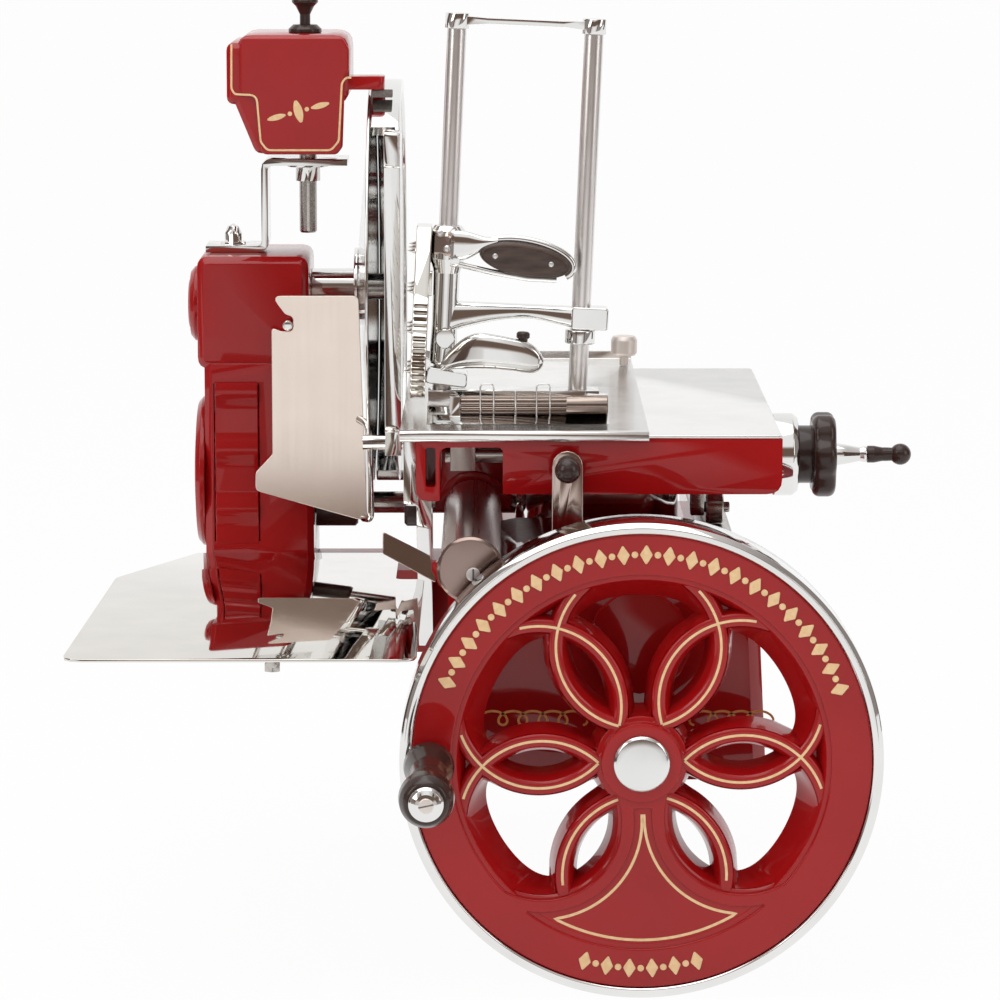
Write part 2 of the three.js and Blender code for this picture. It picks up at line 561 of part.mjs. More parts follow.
// Centre of the petal circle that lies at the given angle.
function petalCentre(degrees) {
  const angle = THREE.MathUtils.degToRad(degrees);
  return [drive.x + petal.centreRadius * Math.cos(angle), drive.z + petal.centreRadius * Math.sin(angle)];
}

// Almond shape where the two circles beside a petal overlap.
function petalOutline(degrees, radius, steps) {
  const [ax, az] = petalCentre(degrees - 30);
  const [bx, bz] = petalCentre(degrees + 30);
  const half = THREE.MathUtils.radToDeg(Math.acos(Math.hypot(bx - ax, bz - az) / 2 / radius));
  const facing = degrees + 90;
  return outline([
    ...arcPoints(ax, az, radius, facing - half, facing + half, steps).slice(0, -1),
    ...arcPoints(bx, bz, radius, facing + 180 - half, facing + 180 + half, steps).slice(0, -1)]);
}

// Opening between two petals: a sector of the web less the circles of the petals beside it.
function wheelOpeningSolid(degrees, from, to) {
  const spread = wheelOpening.spread;
  const sector = outline([
    ...arcPoints(drive.x, drive.z, wheelOpening.outer, degrees - spread, degrees + spread, 6),
    ...arcPoints(drive.x, drive.z, wheelOpening.inner, degrees + spread, degrees - spread, 2)]);
  const circleAt = (angle) => {
    const [x, z] = petalCentre(angle);
    return rodY(x, z, petal.ribRadius, from - cutMargin, to + cutMargin, facets.wheel);
  };
  return cut(alongY(sector, from, to), circleAt(degrees - 60), circleAt(degrees + 60));
}

function flywheelCasting() {
  const face = wheel.faceY;
  const dishY = face + wheel.dishDepth;
  const webBack = dishY + wheel.webThickness;
  const rimInner = wheel.faceRadius - wheel.bandWall;
  const boreRadius = drive.shaftRadius - 2 + seat;
  const profile = [
    [boreRadius, face - wheel.hubRaise], [wheel.hubRadius, face - wheel.hubRaise],
    [wheel.hubRadius + 2, dishY],
    [wheel.dishRadius, dishY], [wheel.bandInner, face], [wheel.faceRadius - seat, face],
    [wheel.faceRadius - seat, face + wheel.rimDepth], [rimInner, face + wheel.rimDepth],
    [rimInner, webBack],
    [wheel.hubRadius + 3, webBack], [wheel.hubRadius - 2, face + wheel.hubDepth],
    [boreRadius, face + wheel.hubDepth], [boreRadius, face - wheel.hubRaise],
  ];
  const disc = turnedY(profile, drive.x, drive.z, facets.wheel);
  const openings = [];
  const petals = [];
  const lenses = [];
  for (let i = 0; i < petal.count; i++) {
    const degrees = i * 60;
    const openingAngle = degrees + 30;
    if (openingAngle !== 270) openings.push(wheelOpeningSolid(openingAngle, face - cutMargin,
      webBack + cutMargin));
    petals.push(alongY(petalOutline(degrees, petal.ribRadius, 4), dishY - petal.raise, dishY + 2));
    lenses.push(alongY(petalOutline(degrees, petal.lensRadius, 4), face - cutMargin, webBack + cutMargin));
  }
  const hubZone = rodY(drive.x, drive.z, wheel.hubRadius - 1, face - farCut,
    face + wheel.rimDepth + farCut, facets.tube);
  const outerZone = rodY(drive.x, drive.z, wheel.bandInner - 3, face - farCut,
    face + wheel.rimDepth + farCut, facets.wheel);
  const ribs = cut(petals.reduce((sum, p) => sum.add(p)).intersect(outerZone), hubZone);
  const fanPlate = wheelOpeningSolid(270, dishY - petal.raise + fan.step, dishY + 2);
  const bore = rodY(drive.x, drive.z, boreRadius, face - farCut, face + wheel.rimDepth + farCut,
    facets.boss);
  const handleHole = rodY(drive.x - handle.armRadius, drive.z, handle.boltRadius + seat, face - cutMargin,
    face + wheel.rimDepth + cutMargin, facets.pin);
  const handleBoss = rodY(drive.x - handle.armRadius, drive.z, handle.boltRadius + 6, face, face + 24,
    facets.pin);
  return cut(join(cut(disc, ...openings), ribs, cut(fanPlate, hubZone), handleBoss), ...lenses, bore,
    handleHole);
}

function flywheelPieces() {
  addPiece("flywheel_casting", flywheelCasting(), enamelRed);
  const face = wheel.faceY;
  const rim = turnedY([[wheel.faceRadius, face - 1], [wheel.faceRadius + 1, face - 2],
    [wheel.radius - 3, face - 2],
    [wheel.radius, face + 1.5], [wheel.radius, face + wheel.rimDepth],
    [wheel.faceRadius, face + wheel.rimDepth],
    [wheel.faceRadius, face - 1]], drive.x, drive.z, facets.wheel);
  addPiece("flywheel_rim_band", rim, chrome);
  const capBack = face - wheel.hubRaise - seat;
  const cap = turnedY([[0, capBack - hubCap.height], [hubCap.radius * 0.5, capBack - hubCap.height + 1.1],
    [hubCap.radius * 0.85, capBack - hubCap.height + 3.6], [hubCap.radius, capBack - 1],
    [hubCap.radius, capBack],
    [0, capBack]], drive.x, drive.z, facets.tube);
  addPiece("flywheel_hub_cap", cap, chrome);

  const x = drive.x - handle.armRadius;
  const collarBack = face - 4;
  const bulbFront = collarBack - handle.length;
  const bolt = turnedY([[0, bulbFront - handle.capHeight],
    [handle.capRadius * 0.6, bulbFront - handle.capHeight + 0.8],
    [handle.capRadius, bulbFront - handle.capHeight + 4], [handle.capRadius, bulbFront - seat],
    [handle.boltRadius, bulbFront - seat], [handle.boltRadius, collarBack + seat],
    [handle.boltRadius + 5, collarBack + seat],
    [handle.boltRadius + 5, face - seat], [handle.boltRadius, face - seat], [handle.boltRadius, face + 30],
    [0, face + 30]],
    x, drive.z, facets.shaft);
  const boltSlot = box(x - 5, bulbFront - handle.capHeight - cutMargin, drive.z - 0.8, x + 5,
    bulbFront - handle.capHeight + 1.2, drive.z + 0.8);
  addPiece("handle_bolt", cut(bolt, boltSlot), chrome);
  const bore = handle.boltRadius + seat;
  const along = (share) => bulbFront + share * handle.length;
  const grip = turnedY([[bore, along(0)], [handle.capRadius + 2, along(0)],
    [handle.bulbRadius - 0.8, along(0.07)],
    [handle.bulbRadius, along(0.15)], [handle.bulbRadius - 3.4, along(0.34)],
    [handle.waistRadius, along(0.58)],
    [handle.waistRadius + 1, along(0.74)], [handle.collarRadius - 1, along(0.86)],
    [handle.collarRadius, along(0.93)],
    [handle.collarRadius - 3, along(1)], [bore, along(1)], [bore, along(0)]], x, drive.z, facets.boss);
  addPiece("handle_grip", grip, darkPlastic);
}

// Blade, its guard, cover and shaft

function bladePieces() {
  const left = blade.faceX - blade.thickness;
  const disc = turnedX([[blade.shaftRadius - 2 + seat, left - 7], [blade.hubRadius, left - 7],
    [blade.radius - 14, left - 1], [blade.radius, blade.faceX - 0.6], [blade.radius - 1, blade.faceX],
    [blade.radius - 14, blade.faceX - 0.4], [blade.hubRadius + 4, left - 1],
    [blade.shaftRadius - 2 + seat, left - 1],
    [blade.shaftRadius - 2 + seat, left - 7]],
    blade.y, blade.z, facets.wheel);
  addPiece("blade_disc", disc, chrome);
  const hub = turnedX([[0, left - 1 + seat], [blade.hubRadius - 6, left - 1 + seat],
    [blade.hubRadius - 6, left + 1.6],
    [blade.hubRadius - 8, blade.faceX - 1], [0, blade.faceX - 1]], blade.y, blade.z, facets.tube);
  addPiece("blade_hub_cap", hub, steel);
  const shoulder = left - 7 - seat;
  const wheelLeft = chainWheel.x - chainWheel.width / 2;
  const shaft = turnedX([[0, wheelLeft - 3], [blade.shaftRadius, wheelLeft - 3],
    [blade.shaftRadius, shoulder],
    [blade.shaftRadius - 2, shoulder], [blade.shaftRadius - 2, left - 1], [0, left - 1]], blade.y, blade.z,
    facets.shaft);
  addPiece("blade_shaft", join(shaft, chainWheelDisc(chainWheel.upperTeeth, blade.y, blade.z)), steel);

  const bore = blade.shaftRadius + seat;
  const tubeLeft = column.right + seat;
  const tubeRight = backCover.hubX - seat;
  const tubePiece = turnedX([[bore, tubeLeft], [shaftTube.outer, tubeLeft],
    [shaftTube.outer, tubeRight - shaftTube.flange],
    [shaftTube.flangeRadius, tubeRight - shaftTube.flange], [shaftTube.flangeRadius, tubeRight],
    [bore, tubeRight],
    [bore, tubeLeft]], blade.y, blade.z, facets.boss);
  addPiece("blade_shaft_tube", tubePiece, chrome);
  const t = backCover.thickness;
  const cover = turnedX([[bore, backCover.hubX], [shaftTube.flangeRadius + 4, backCover.hubX],
    [backCover.dishRadius + 10, backCover.rimX - t], [backCover.outer, backCover.rimX - t],
    [backCover.outer, backCover.rimX], [backCover.dishRadius + 9, backCover.rimX],
    [shaftTube.flangeRadius + 3, backCover.hubX + t],
    [bore, backCover.hubX + t], [bore, backCover.hubX]], blade.y, blade.z, facets.wheel);
  addPiece("blade_back_cover", cover, chrome);
  const hoop = outline([
    ...arcPoints(blade.y, blade.z, guard.outer, guard.fromAngle, guard.toAngle, 26),
    ...arcPoints(blade.y, blade.z, guard.inner, guard.toAngle, guard.fromAngle, 26)]);
  addPiece("blade_guard", alongX(hoop, guard.left, guard.right), chrome);
}

// Gauge plate, its rod, bracket and knob

function gaugePieces() {
  const reach = guard.inner + gauge.bladeGap + 6;
  const angleAt = (z) => 180 - THREE.MathUtils.radToDeg(Math.asin((z - blade.z) / reach));
  const crescent = outline([
    [gauge.front, gauge.top, gauge.corner], [gauge.front, gauge.bottom, gauge.corner],
    ...arcPoints(blade.y, blade.z, reach, angleAt(gauge.bottom), angleAt(gauge.top), 14)]);
  const lug = box(gauge.left, gaugeRod.y - 9, gaugeRod.z - 9, gauge.right, gaugeRod.y + 9,
    gauge.bottom + 4);
  const rodHole = rodX(gaugeRod.y, gaugeRod.z, gaugeRod.radius + seat, gauge.left - cutMargin,
    gauge.right + cutMargin, facets.rod);
  const clasp = alongX(rectangle(gauge.front - 5, gauge.top - 22, gauge.front + 26, gauge.top + 4, 3),
    gauge.left, gauge.right);
  const gaugeBody = join(alongX(crescent, gauge.left, gauge.right), lug, clasp);
  const bladeClear = rodX(blade.y, blade.z, reach, gauge.left - cutMargin, gauge.right + cutMargin,
    facets.wheel);
  addPiece("gauge_plate", cut(gaugeBody, rodHole, bladeClear), chrome);
  const rodPiece = rodX(gaugeRod.y, gaugeRod.z, gaugeRod.radius, gaugeRod.left, gaugeRod.right, facets.rod);
  const b = gaugeBracket;
  const lowerSide = outline([[arm.front - seat, b.foot], [arm.front - seat, b.neck, 10],
    [b.front + 24, b.step, 8],
    [b.front, b.step, 8], [b.front + 6, b.bend, 10], [arm.front - 24, b.foot, 8]]);
  const upperSide = rectangle(b.front, b.step - 24, b.front + 22, b.rodTop, 5);
  const knobSeat = rodX(thicknessKnob.y, thicknessKnob.z, 4 + seat, b.left - cutMargin,
    b.right + cutMargin, facets.pin);
  const lowerPart = cut(alongX(lowerSide, b.middle, b.right), knobSeat);
  addPiece("gauge_bracket", join(lowerPart, alongX(upperSide, b.left, b.middle + 1), rodPiece), chrome);
  const knobRight = b.middle - seat;
  const knobLeft = knobRight - thicknessKnob.length;
  const knob = turnedX([[0, knobLeft], [thicknessKnob.radius - 2, knobLeft],
    [thicknessKnob.radius, knobLeft + 2],
    [thicknessKnob.radius, knobRight], [4, knobRight], [4, b.right], [0, b.right]],
    thicknessKnob.y, thicknessKnob.z, facets.rod);
  addPiece("thickness_knob", knob, darkPlastic);
}

// Slice deflector, tray

function deflectorPieces() {
  const d = deflector;
  const pin = deflectorPin;
  const front = d.y - d.thickness / 2;
  const back = d.y + d.thickness / 2;
  const face = outline([
    [d.right, d.top, 16], [d.left, d.top, 4], [pin.x - 2, pin.z + 8], [pin.x + 4, pin.z + 6],
    [pin.x + 4, pin.z - 5],
    [pin.x - 5, pin.z - 5], [d.left, pin.z - 2, 3], [d.left, d.bottom + 28, 6], [d.flare, d.bottom + 14, 6],
    [d.flare, d.bottom, 5], [d.wingRight, d.toeZ]]);
  const plate = alongY(face, front, back, 0, 4);
  const wing = alongX(outline([[back - 0.8, d.toeZ + 4], [back + d.wingDepth, d.toeZ + 28, 8],
    [back + d.wingDepth, d.top - 52, 14], [back - 0.8, d.top - 8]]), d.right - d.thickness, d.right);
  const wireY = front - wireHandle.reach;
  const wire = rodZ(wireHandle.x, wireY, wireHandle.radius, wireHandle.bottom, wireHandle.top, facets.pin);
  const wireEnd = (z) => rodY(wireHandle.x, z, wireHandle.radius, wireY, front + 0.5, facets.pin);
  addPiece("slice_deflector", join(plate, wing, wire, wireEnd(wireHandle.top - 3),
    wireEnd(wireHandle.bottom + 3)),
    satinSteel);
  const pinPiece = turnedY([[0, front - 7], [pin.headRadius, front - 6], [pin.headRadius, front - 2.5],
    [pin.radius, front - 2], [pin.radius, column.front - seat], [0, column.front - seat]], pin.x, pin.z,
    facets.pin);
  addPiece("deflector_pin", pinPiece, chrome);
}

function trayPieces() {
  const t = tray;
  const plan = outline([[t.left, t.front, t.corner], [t.right, t.front, t.corner],
    [t.right, t.notchFront, 6],
    [t.notchRight, t.notchFront, 6], [t.notchRight, t.back, t.corner],
    [column.lowerLeft - 6, t.back], [t.left + 9, -63, 30]]);
  addPiece("receiving_tray", alongZ(plan, t.z, t.z + t.thickness), chrome);
  const rodTop = t.z - seat;
  const rodZc = rodTop - trayRod.radius;
  const bar = rodY(trayRod.x, rodZc, trayRod.radius, trayRod.boltY, column.front - seat, facets.rod);
  const bolt = rodZ(trayRod.x, trayRod.boltY + 8, trayRod.bolt, t.z - trayRod.boltDrop, rodZc - 1, 6);
  addPiece("tray_support_rod", join(bar, bolt), steel);
}

// Sharpener

function sharpenerPieces() {
  const s = sharpener;
  const b = zBracket;
  const footBottom = column.top + seat;
  const bracketSide = outline([
    [b.footLeft, footBottom], [b.uprightX, footBottom, 8], [b.uprightX, b.topZ - b.thickness, 4],
    [b.topRight, b.topZ - b.thickness], [b.topRight, b.topZ], [b.uprightX - b.thickness, b.topZ, 8],
    [b.uprightX - b.thickness, footBottom + b.thickness, 4], [b.footLeft, footBottom + b.thickness]]);
  const nutX = (b.footLeft + b.uprightX) / 2 - 4;
  const pivotHole = rodZ(pivot.x, pivot.y, pivot.radius + seat, b.topZ - 20, b.topZ + 20, facets.rod);
  const nutBase = footBottom + b.thickness - 1;
  const nut = turnedZ([[0, nutBase], [10.2, nutBase], [10.2, nutBase + 2.6], [6.8, nutBase + 2.6],
    [6.8, nutBase + 9],
    [4.4, nutBase + 14.5], [0, nutBase + 16.5]], nutX, pivot.y, facets.pin);
  const collarTop = b.topZ - b.thickness + 1;
  const collar = turnedZ([[pivot.radius + seat, collarTop - 14], [pivot.collarRadius, collarTop - 14],
    [pivot.collarRadius, collarTop - 3], [16, collarTop - 3], [16, collarTop],
    [pivot.radius + seat, collarTop],
    [pivot.radius + seat, collarTop - 14]], pivot.x, pivot.y, facets.shaft);
  addPiece("sharpener_bracket", join(cut(alongY(bracketSide, b.front, b.back), pivotHole), nut, collar),
    chrome);

  const block = (left, bottom, right, top, radius) =>
    alongY(rectangle(left, bottom, right, top, radius), s.front, s.back, s.edge, 4);
  const taper = alongY(outline([[s.wing + 4, s.shoulder + 6], [s.neckLeft, s.bottom, 7],
    [s.neckRight - 4, s.bottom, 7],
    [s.neckRight, s.shoulder + 6], [s.neckRight, s.top - 20], [s.wing + 4, s.top - 20]]), s.front, s.back,
    s.edge, 3);
  const body = join(block(s.left, s.shoulder, s.right, s.top, 12), taper,
    block(s.wing, s.shoulder, s.left + 20, s.top - 6, 6));
  const panel = alongY(outline([[s.right - 11, s.top - 14, 5], [s.left + 13, s.top - 14, 5],
    [s.left + 15, s.shoulder + 8],
    [s.neckLeft + 12, s.bottom + 12, 5], [s.neckRight - 10, s.bottom + 12, 5]]), s.front - cutMargin,
    s.front + 1.5);
  const underside = box(s.neckLeft + 8, s.front + 12, s.bottom - cutMargin, s.neckRight - 6, s.back - 12,
    s.bottom + 30);
  const shelf = alongZ(rectangle(s.neckRight, stoneArm.front, stoneArm.right, stoneArm.back, 5),
    stoneArm.bottom, stoneArm.top);
  const knobBase = rodZ(pivot.x, pivot.y - 34, pushKnob.baseRadius, s.top - 1, s.top + pushKnob.base,
    facets.shaft);
  const knobHole = rodZ(pivot.x, pivot.y - 34, pushKnob.neck + seat,
    s.top - pushKnob.stem - pushKnob.travel - 1,
    s.top + 30, facets.rod);
  const pivotSocket = rodZ(pivot.x, pivot.y, pivot.radius + seat, s.bottom - 30, s.top - 12, facets.rod);
  const pivotBoss = rodZ(pivot.x, pivot.y, pivot.radius + 6, s.bottom, s.bottom + 36, facets.rod);
  addPiece("sharpener_housing", cut(join(cut(body, panel, underside), pivotBoss, shelf, knobBase),
    knobHole, pivotSocket),
    enamelRed);
  const shaft = turnedZ([[0, pivot.bottom], [pivot.radius - 1, pivot.bottom],
    [pivot.radius, pivot.bottom + 1.5],
    [pivot.radius, s.top - 14], [0, s.top - 14]], pivot.x, pivot.y, facets.shaft);
  const crossHole = rodX(pivot.y, pivot.bottom + 16, 2.5, pivot.x, pivot.x + 20, facets.pin);
  addPiece("sharpener_shaft", cut(shaft, crossHole), steel);
  const knobZ = s.top + pushKnob.base;
  const knob = turnedZ([[0, s.top - pushKnob.stem], [pushKnob.neck, s.top - pushKnob.stem],
    [pushKnob.neck, knobZ + pushKnob.travel + 2], [pushKnob.radius - 3, knobZ + pushKnob.height - 6],
    [pushKnob.radius, knobZ + pushKnob.height - 3], [pushKnob.radius, knobZ + pushKnob.height - 1],
    [pushKnob.radius - 2, knobZ + pushKnob.height], [0, knobZ + pushKnob.height]], pivot.x, pivot.y - 34,
    facets.shaft);
  addPiece("sharpener_knob", knob, darkPlastic);
  addPiece("sharpening_stone", box(stone.left, stone.front, stone.bottom, stone.right, stone.back,
    stone.top), stoneGrey);
}

// Carriage

const plateZ = carriage.top + seat;
const clampPlateZ = plateZ + topPlate.thickness + seat;
const clampTop = clampPlateZ + clampPlate.thickness;

function carriageCasting() {
  const c = carriage;
  const front = outline([[c.left, c.top], [c.left, c.bottom - 5, c.corner], [c.archLeft, c.bottom - 5, 2],
    [c.archLeft, c.top - c.wall, 6], [c.archRight, c.top - c.wall, 4], [c.archRight, c.bottom],
    [c.right, c.bottom, 11], [c.right, c.top]]);
  const body = alongY(front, c.front, c.back, 0, 4);
  const hollow = box(c.archRight + c.wall, c.front + c.wall, c.bottom - cutMargin, c.right - c.wall - 4,
    c.back - c.wall, c.top - c.wall);
  const reach = tube.radius + bushing.wall;
  const side = reach + 1.5;
  const hanger = alongY(outline([[tube.x - 18, c.top - 2], [tube.x - side, tube.z + 14, 6],
    [tube.x - side, bushing.underside - 1], [tube.x + side, bushing.underside - 1],
    [tube.x + side, tube.z + 14, 6], [tube.x + 26, c.top - 2]]),
    bushing.y - bushing.length / 2 + 6, bushing.y + bushing.length / 2 - 6);
  const ring = rodY(tube.x, tube.z, reach, bushing.y - bushing.length / 2, bushing.y + bushing.length / 2,
    facets.tube);
  const openSide = box(tube.x - farCut, bushing.y - farCut, bushing.underside - farCut, tube.x + farCut,
    bushing.y + farCut,
    bushing.underside);
  const bushingHole = rodY(tube.x, tube.z, tube.radius + seat, bushing.y - bushing.length,
    bushing.y + bushing.length, facets.tube);
  const legSlot = alongY(rectangle(c.left + 7, c.bottom + 5, c.archLeft - 3, c.top - 6, 2),
    c.front - cutMargin,
    c.front + 30);
  const screwHole = rodX(feed.y, feed.z, feed.screwRadius + seat, c.right - 20, c.right + cutMargin,
    facets.rod);
  const lockHole = rodY(stopPlate.centreX, lockBall.z, lockBall.pin + 0.6, c.front - cutMargin,
    c.front + 9, facets.pin);
  const nutSlot = box(nut.left - 1, feed.y - nut.halfDepth - 1, feed.z - nut.bottom - 1,
    nut.right + nut.travel + 2,
    feed.y + nut.halfDepth + 1, c.top + cutMargin);
  return cut(join(cut(body, hollow), hanger, ring), openSide, bushingHole, legSlot, screwHole, lockHole,
    nutSlot);
}

function carriagePieces() {
  const c = carriage;
  addPiece("carriage_casting", carriageCasting(), enamelRed);
  const plate = alongZ(rectangle(c.left, c.front, c.right, c.back, 3), plateZ, plateZ + topPlate.thickness);
  const slot = box(nut.left - 1, feed.y - nut.halfDepth - 1, c.top - 5, nut.right + nut.travel + 2,
    feed.y + nut.halfDepth + 1, plateZ + 20);
  addPiece("carriage_top_plate", cut(plate, slot), chrome);
  const rollerZ = railSeatZ + rail.height + seat + roller.radius;
  const bracketRight = roller.bracketLeft + roller.bracketThickness;
  const bracketTop = c.top - c.wall - seat;
  const bracket = alongX(outline([[roller.y - 11, bracketTop], [roller.y - 11, rollerZ - 6, 8],
    [roller.y + 11, rollerZ - 6, 8], [roller.y + 11, bracketTop]]), roller.bracketLeft, bracketRight);
  const pin = rodX(roller.y, rollerZ, roller.pin, bracketRight - 1, rail.right, facets.pin);
  addPiece("roller_bracket", join(bracket, pin), steel);
  const wheelLeft = bracketRight + 1.2;
  const rollerPiece = turnedX([[roller.pin + seat, wheelLeft], [roller.radius - 1, wheelLeft],
    [roller.radius, wheelLeft + 1],
    [roller.radius, wheelLeft + roller.width - 1], [roller.radius - 1, wheelLeft + roller.width],
    [roller.pin + seat, wheelLeft + roller.width], [roller.pin + seat, wheelLeft]], roller.y, rollerZ,
    facets.shaft);
  addPiece("carriage_roller", rollerPiece, steel);
}

function feedPieces() {
  const x0 = carriage.right + seat;
  const x1 = x0 + feed.flange;
  const bore = feed.screwRadius + seat;
  const flange = turnedX([[bore, x0], [feed.flangeRadius, x0], [feed.flangeRadius, x1 - 4],
    [feed.flangeRadius - 3, x1],
    [bore, x1], [bore, x0]], feed.y, feed.z, facets.tube);
  addPiece("feed_flange", flange, chrome);
  const x2 = x1 + seat;
  const x4 = x2 + feed.collar;
  const collar = rodX(feed.y, feed.z, feed.collarRadius, x2, x4 + 1, facets.boss);
  const x5 = x4 + feedKnob.width;
  const steps = feedKnob.lobes * 5;
  const lobes = Array.from({ length: steps }, (_, i) => {
    const angle = (i * 2 * Math.PI) / steps;
    const wave = (0.5 - 0.5 * Math.cos(feedKnob.lobes * angle)) ** 2;
    const radius = feedKnob.radius - feedKnob.lobeDepth * wave;
    return [feed.y + radius * Math.cos(angle), feed.z + radius * Math.sin(angle)];
  });
  const knobBody = alongX(outline(lobes), x4, x5, feedKnob.edge);
  const knob = cut(join(knobBody, collar),
    rodX(feed.y, feed.z, feed.screwRadius - 1.5 + seat, x2 - cutMargin, x5 + cutMargin, facets.rod));
  addPiece("feed_knob", knob, darkPlastic);
  const screwLeft = nut.left - 4;
  const screw = turnedX([[0, screwLeft], [feed.screwRadius, screwLeft], [feed.screwRadius, x2 - seat],
    [feed.screwRadius - 1.5, x2 - seat], [feed.screwRadius - 1.5, x5], [0, x5]], feed.y, feed.z,
    facets.rod);
  addPiece("feed_screw", screw, steel);
  const x6 = x5 + seat;
  const x7 = x6 + feedCrank.length;
  const pinRadius = 2;
  const gripEnd = x7 + seat + feedGrip.length;
  const crank = turnedX([[0, x6], [feedCrank.rootRadius, x6], [feedCrank.rootRadius - 1, x6 + 7],
    [feedCrank.tipRadius + 1.8, x6 + 9], [feedCrank.tipRadius, x7 - 5], [feedCrank.tipRadius + 0.8, x7 - 2],
    [feedCrank.tipRadius + 0.8, x7], [pinRadius, x7], [pinRadius, gripEnd - 8], [0, gripEnd - 8]],
    feed.y, feed.z, facets.rod);
  addPiece("feed_crank", crank, chrome);
  const x8 = x7 + seat;
  const bead = gripEnd - feedGrip.ballRadius;
  const grip = turnedX([[pinRadius + seat, x8], [feedGrip.neckRadius, x8], [feedGrip.neckRadius, x8 + 5],
    [feedGrip.waistRadius, x8 + 11], [feedGrip.waistRadius, x8 + 14],
    ...arcPoints(0, 0, feedGrip.ballRadius, -52, 90, 5).map(([r, a]) => [r, bead + a]),
    [0, gripEnd - 8 + seat], [pinRadius + seat, gripEnd - 8 + seat], [pinRadius + seat, x8]], feed.y,
    feed.z, facets.rod);
  addPiece("feed_grip", grip, darkPlastic);
}

// Clamp table and what stands on it

function clampTablePieces() {
  const p = clampPlate;
  const lipBack = carriage.front - seat;
  const lipFront = lipBack - p.lipDepth;
  const plate = box(p.left, lipFront + 3, clampPlateZ, p.right, p.back, clampTop);
  const lip = alongX(rectangle(lipFront, p.lipBottom, lipBack, p.lipTop, 3), p.left, p.right);
  const fence = box(p.left, p.back - 3, clampTop - 1, p.right, p.back, clampTop + 6);
  const nutBlock = box(nut.left, feed.y - nut.halfDepth, feed.z - nut.bottom, nut.right,
    feed.y + nut.halfDepth,
    clampPlateZ + 1);
  const nutHole = rodX(feed.y, feed.z, feed.screwRadius + seat, nut.left - cutMargin,
    nut.right + cutMargin, facets.rod);
  addPiece("clamp_table", cut(join(plate, lip, fence, nutBlock), nutHole), chrome);
  const k = tableKnob;
  const z0 = clampTop + seat;
  const knob = turnedZ([[0, z0], [k.stem, z0], [k.stem, z0 + k.neck - 1], [k.radius, z0 + k.neck],
    [k.radius, z0 + k.height - 2],
    [k.radius - 3, z0 + k.height], [0, z0 + k.height]], k.x, k.y, facets.shaft);
  addPiece("table_knob", knob, chrome);
}

// The clamp frame leans to the right by clamp.lean. Its group has X along the table,
// Y away from the user and Z along the posts, from the foot of the right post.
function clampFramePieces() {
  const frame = new THREE.Group();
  frame.position.set(clamp.x, clamp.y, clampTop + seat);
  slicer.add(frame);
  const leaning = new THREE.Group();
  leaning.rotation.y = THREE.MathUtils.degToRad(clamp.lean);
  frame.add(leaning);

  const f = clampFoot;
  const leftX = -clamp.spacing;
  const slab = alongX(outline([[f.front, 0], [f.back, 0], [f.back, f.height], [-22, f.height], [-30, 2.6]]),
    f.left, f.right);
  const block = box(leftX - 9, -13, 0, f.right - 6, 13, f.block);
  const barRest = box(clampBar.left - 8, clampBar.y - 7, 0, clampBar.left - seat, clampBar.y + 7,
    f.height + 9);
  const barRestRight = box(clampBar.right - 16, clampBar.y + 4, 0, clampBar.right, clampBar.y + 14,
    f.height + 9);
  const leanMatrix = new THREE.Matrix4().makeRotationY(THREE.MathUtils.degToRad(clamp.lean));
  const postHole = (x) => rodZ(x, 0, clamp.postRadius + seat, 4, 60,
    facets.shaft).transform(leanMatrix.elements);
  const foot = cut(join(slab, block, barRest, barRestRight), postHole(0), postHole(leftX),
    rodX(clampBar.y, f.height + 2, clampBar.radius + seat, clampBar.left - 1, clampBar.right + 1,
    facets.rod));
  addPiece("clamp_foot", foot, chrome, frame);

  const groove = (clampBar.right - clampBar.left - 8) / clampBar.grooves;
  const barProfile = [[0, clampBar.left], [clampBar.radius, clampBar.left]];
  for (let i = 0; i < clampBar.grooves; i++) {
    const at = clampBar.left + 4 + i * groove;
    barProfile.push([clampBar.radius, at + 2], [clampBar.radius - 1.5, at + 3],
      [clampBar.radius - 1.5, at + groove - 2],
      [clampBar.radius, at + groove - 1]);
  }
  barProfile.push([clampBar.radius, clampBar.right], [0, clampBar.right]);
  addPiece("clamp_bar", turnedX(barProfile, clampBar.y, f.height + 2, facets.rod), steel, frame);

  const postFoot = 5;
  const postTop = clamp.height - clamp.boss;
  const postAt = (x) => rodZ(x, 0, clamp.postRadius, postFoot, postTop, facets.shaft);
  addPiece("clamp_post_right", postAt(0), chrome, leaning);
  addPiece("clamp_post_left", postAt(leftX), chrome, leaning);
  const boss = (x) => rodZ(x, 0, clamp.bossRadius, postTop + seat, clamp.height, facets.rod);
  const bar = alongY(outline([[leftX, clamp.height - 8.5], [leftX + 22, clamp.height - 6.5],
    [-22, clamp.height - 6.5],
    [0, clamp.height - 8.5], [0, clamp.height - 1.5], [-22, clamp.height - 2.5],
    [leftX + 22, clamp.height - 2.5],
    [leftX, clamp.height - 1.5]]), -4.5, 4.5);
  addPiece("clamp_crossbar", join(bar, boss(0), boss(leftX)), chrome, leaning);
  pressPieces(leaning, leftX);
}

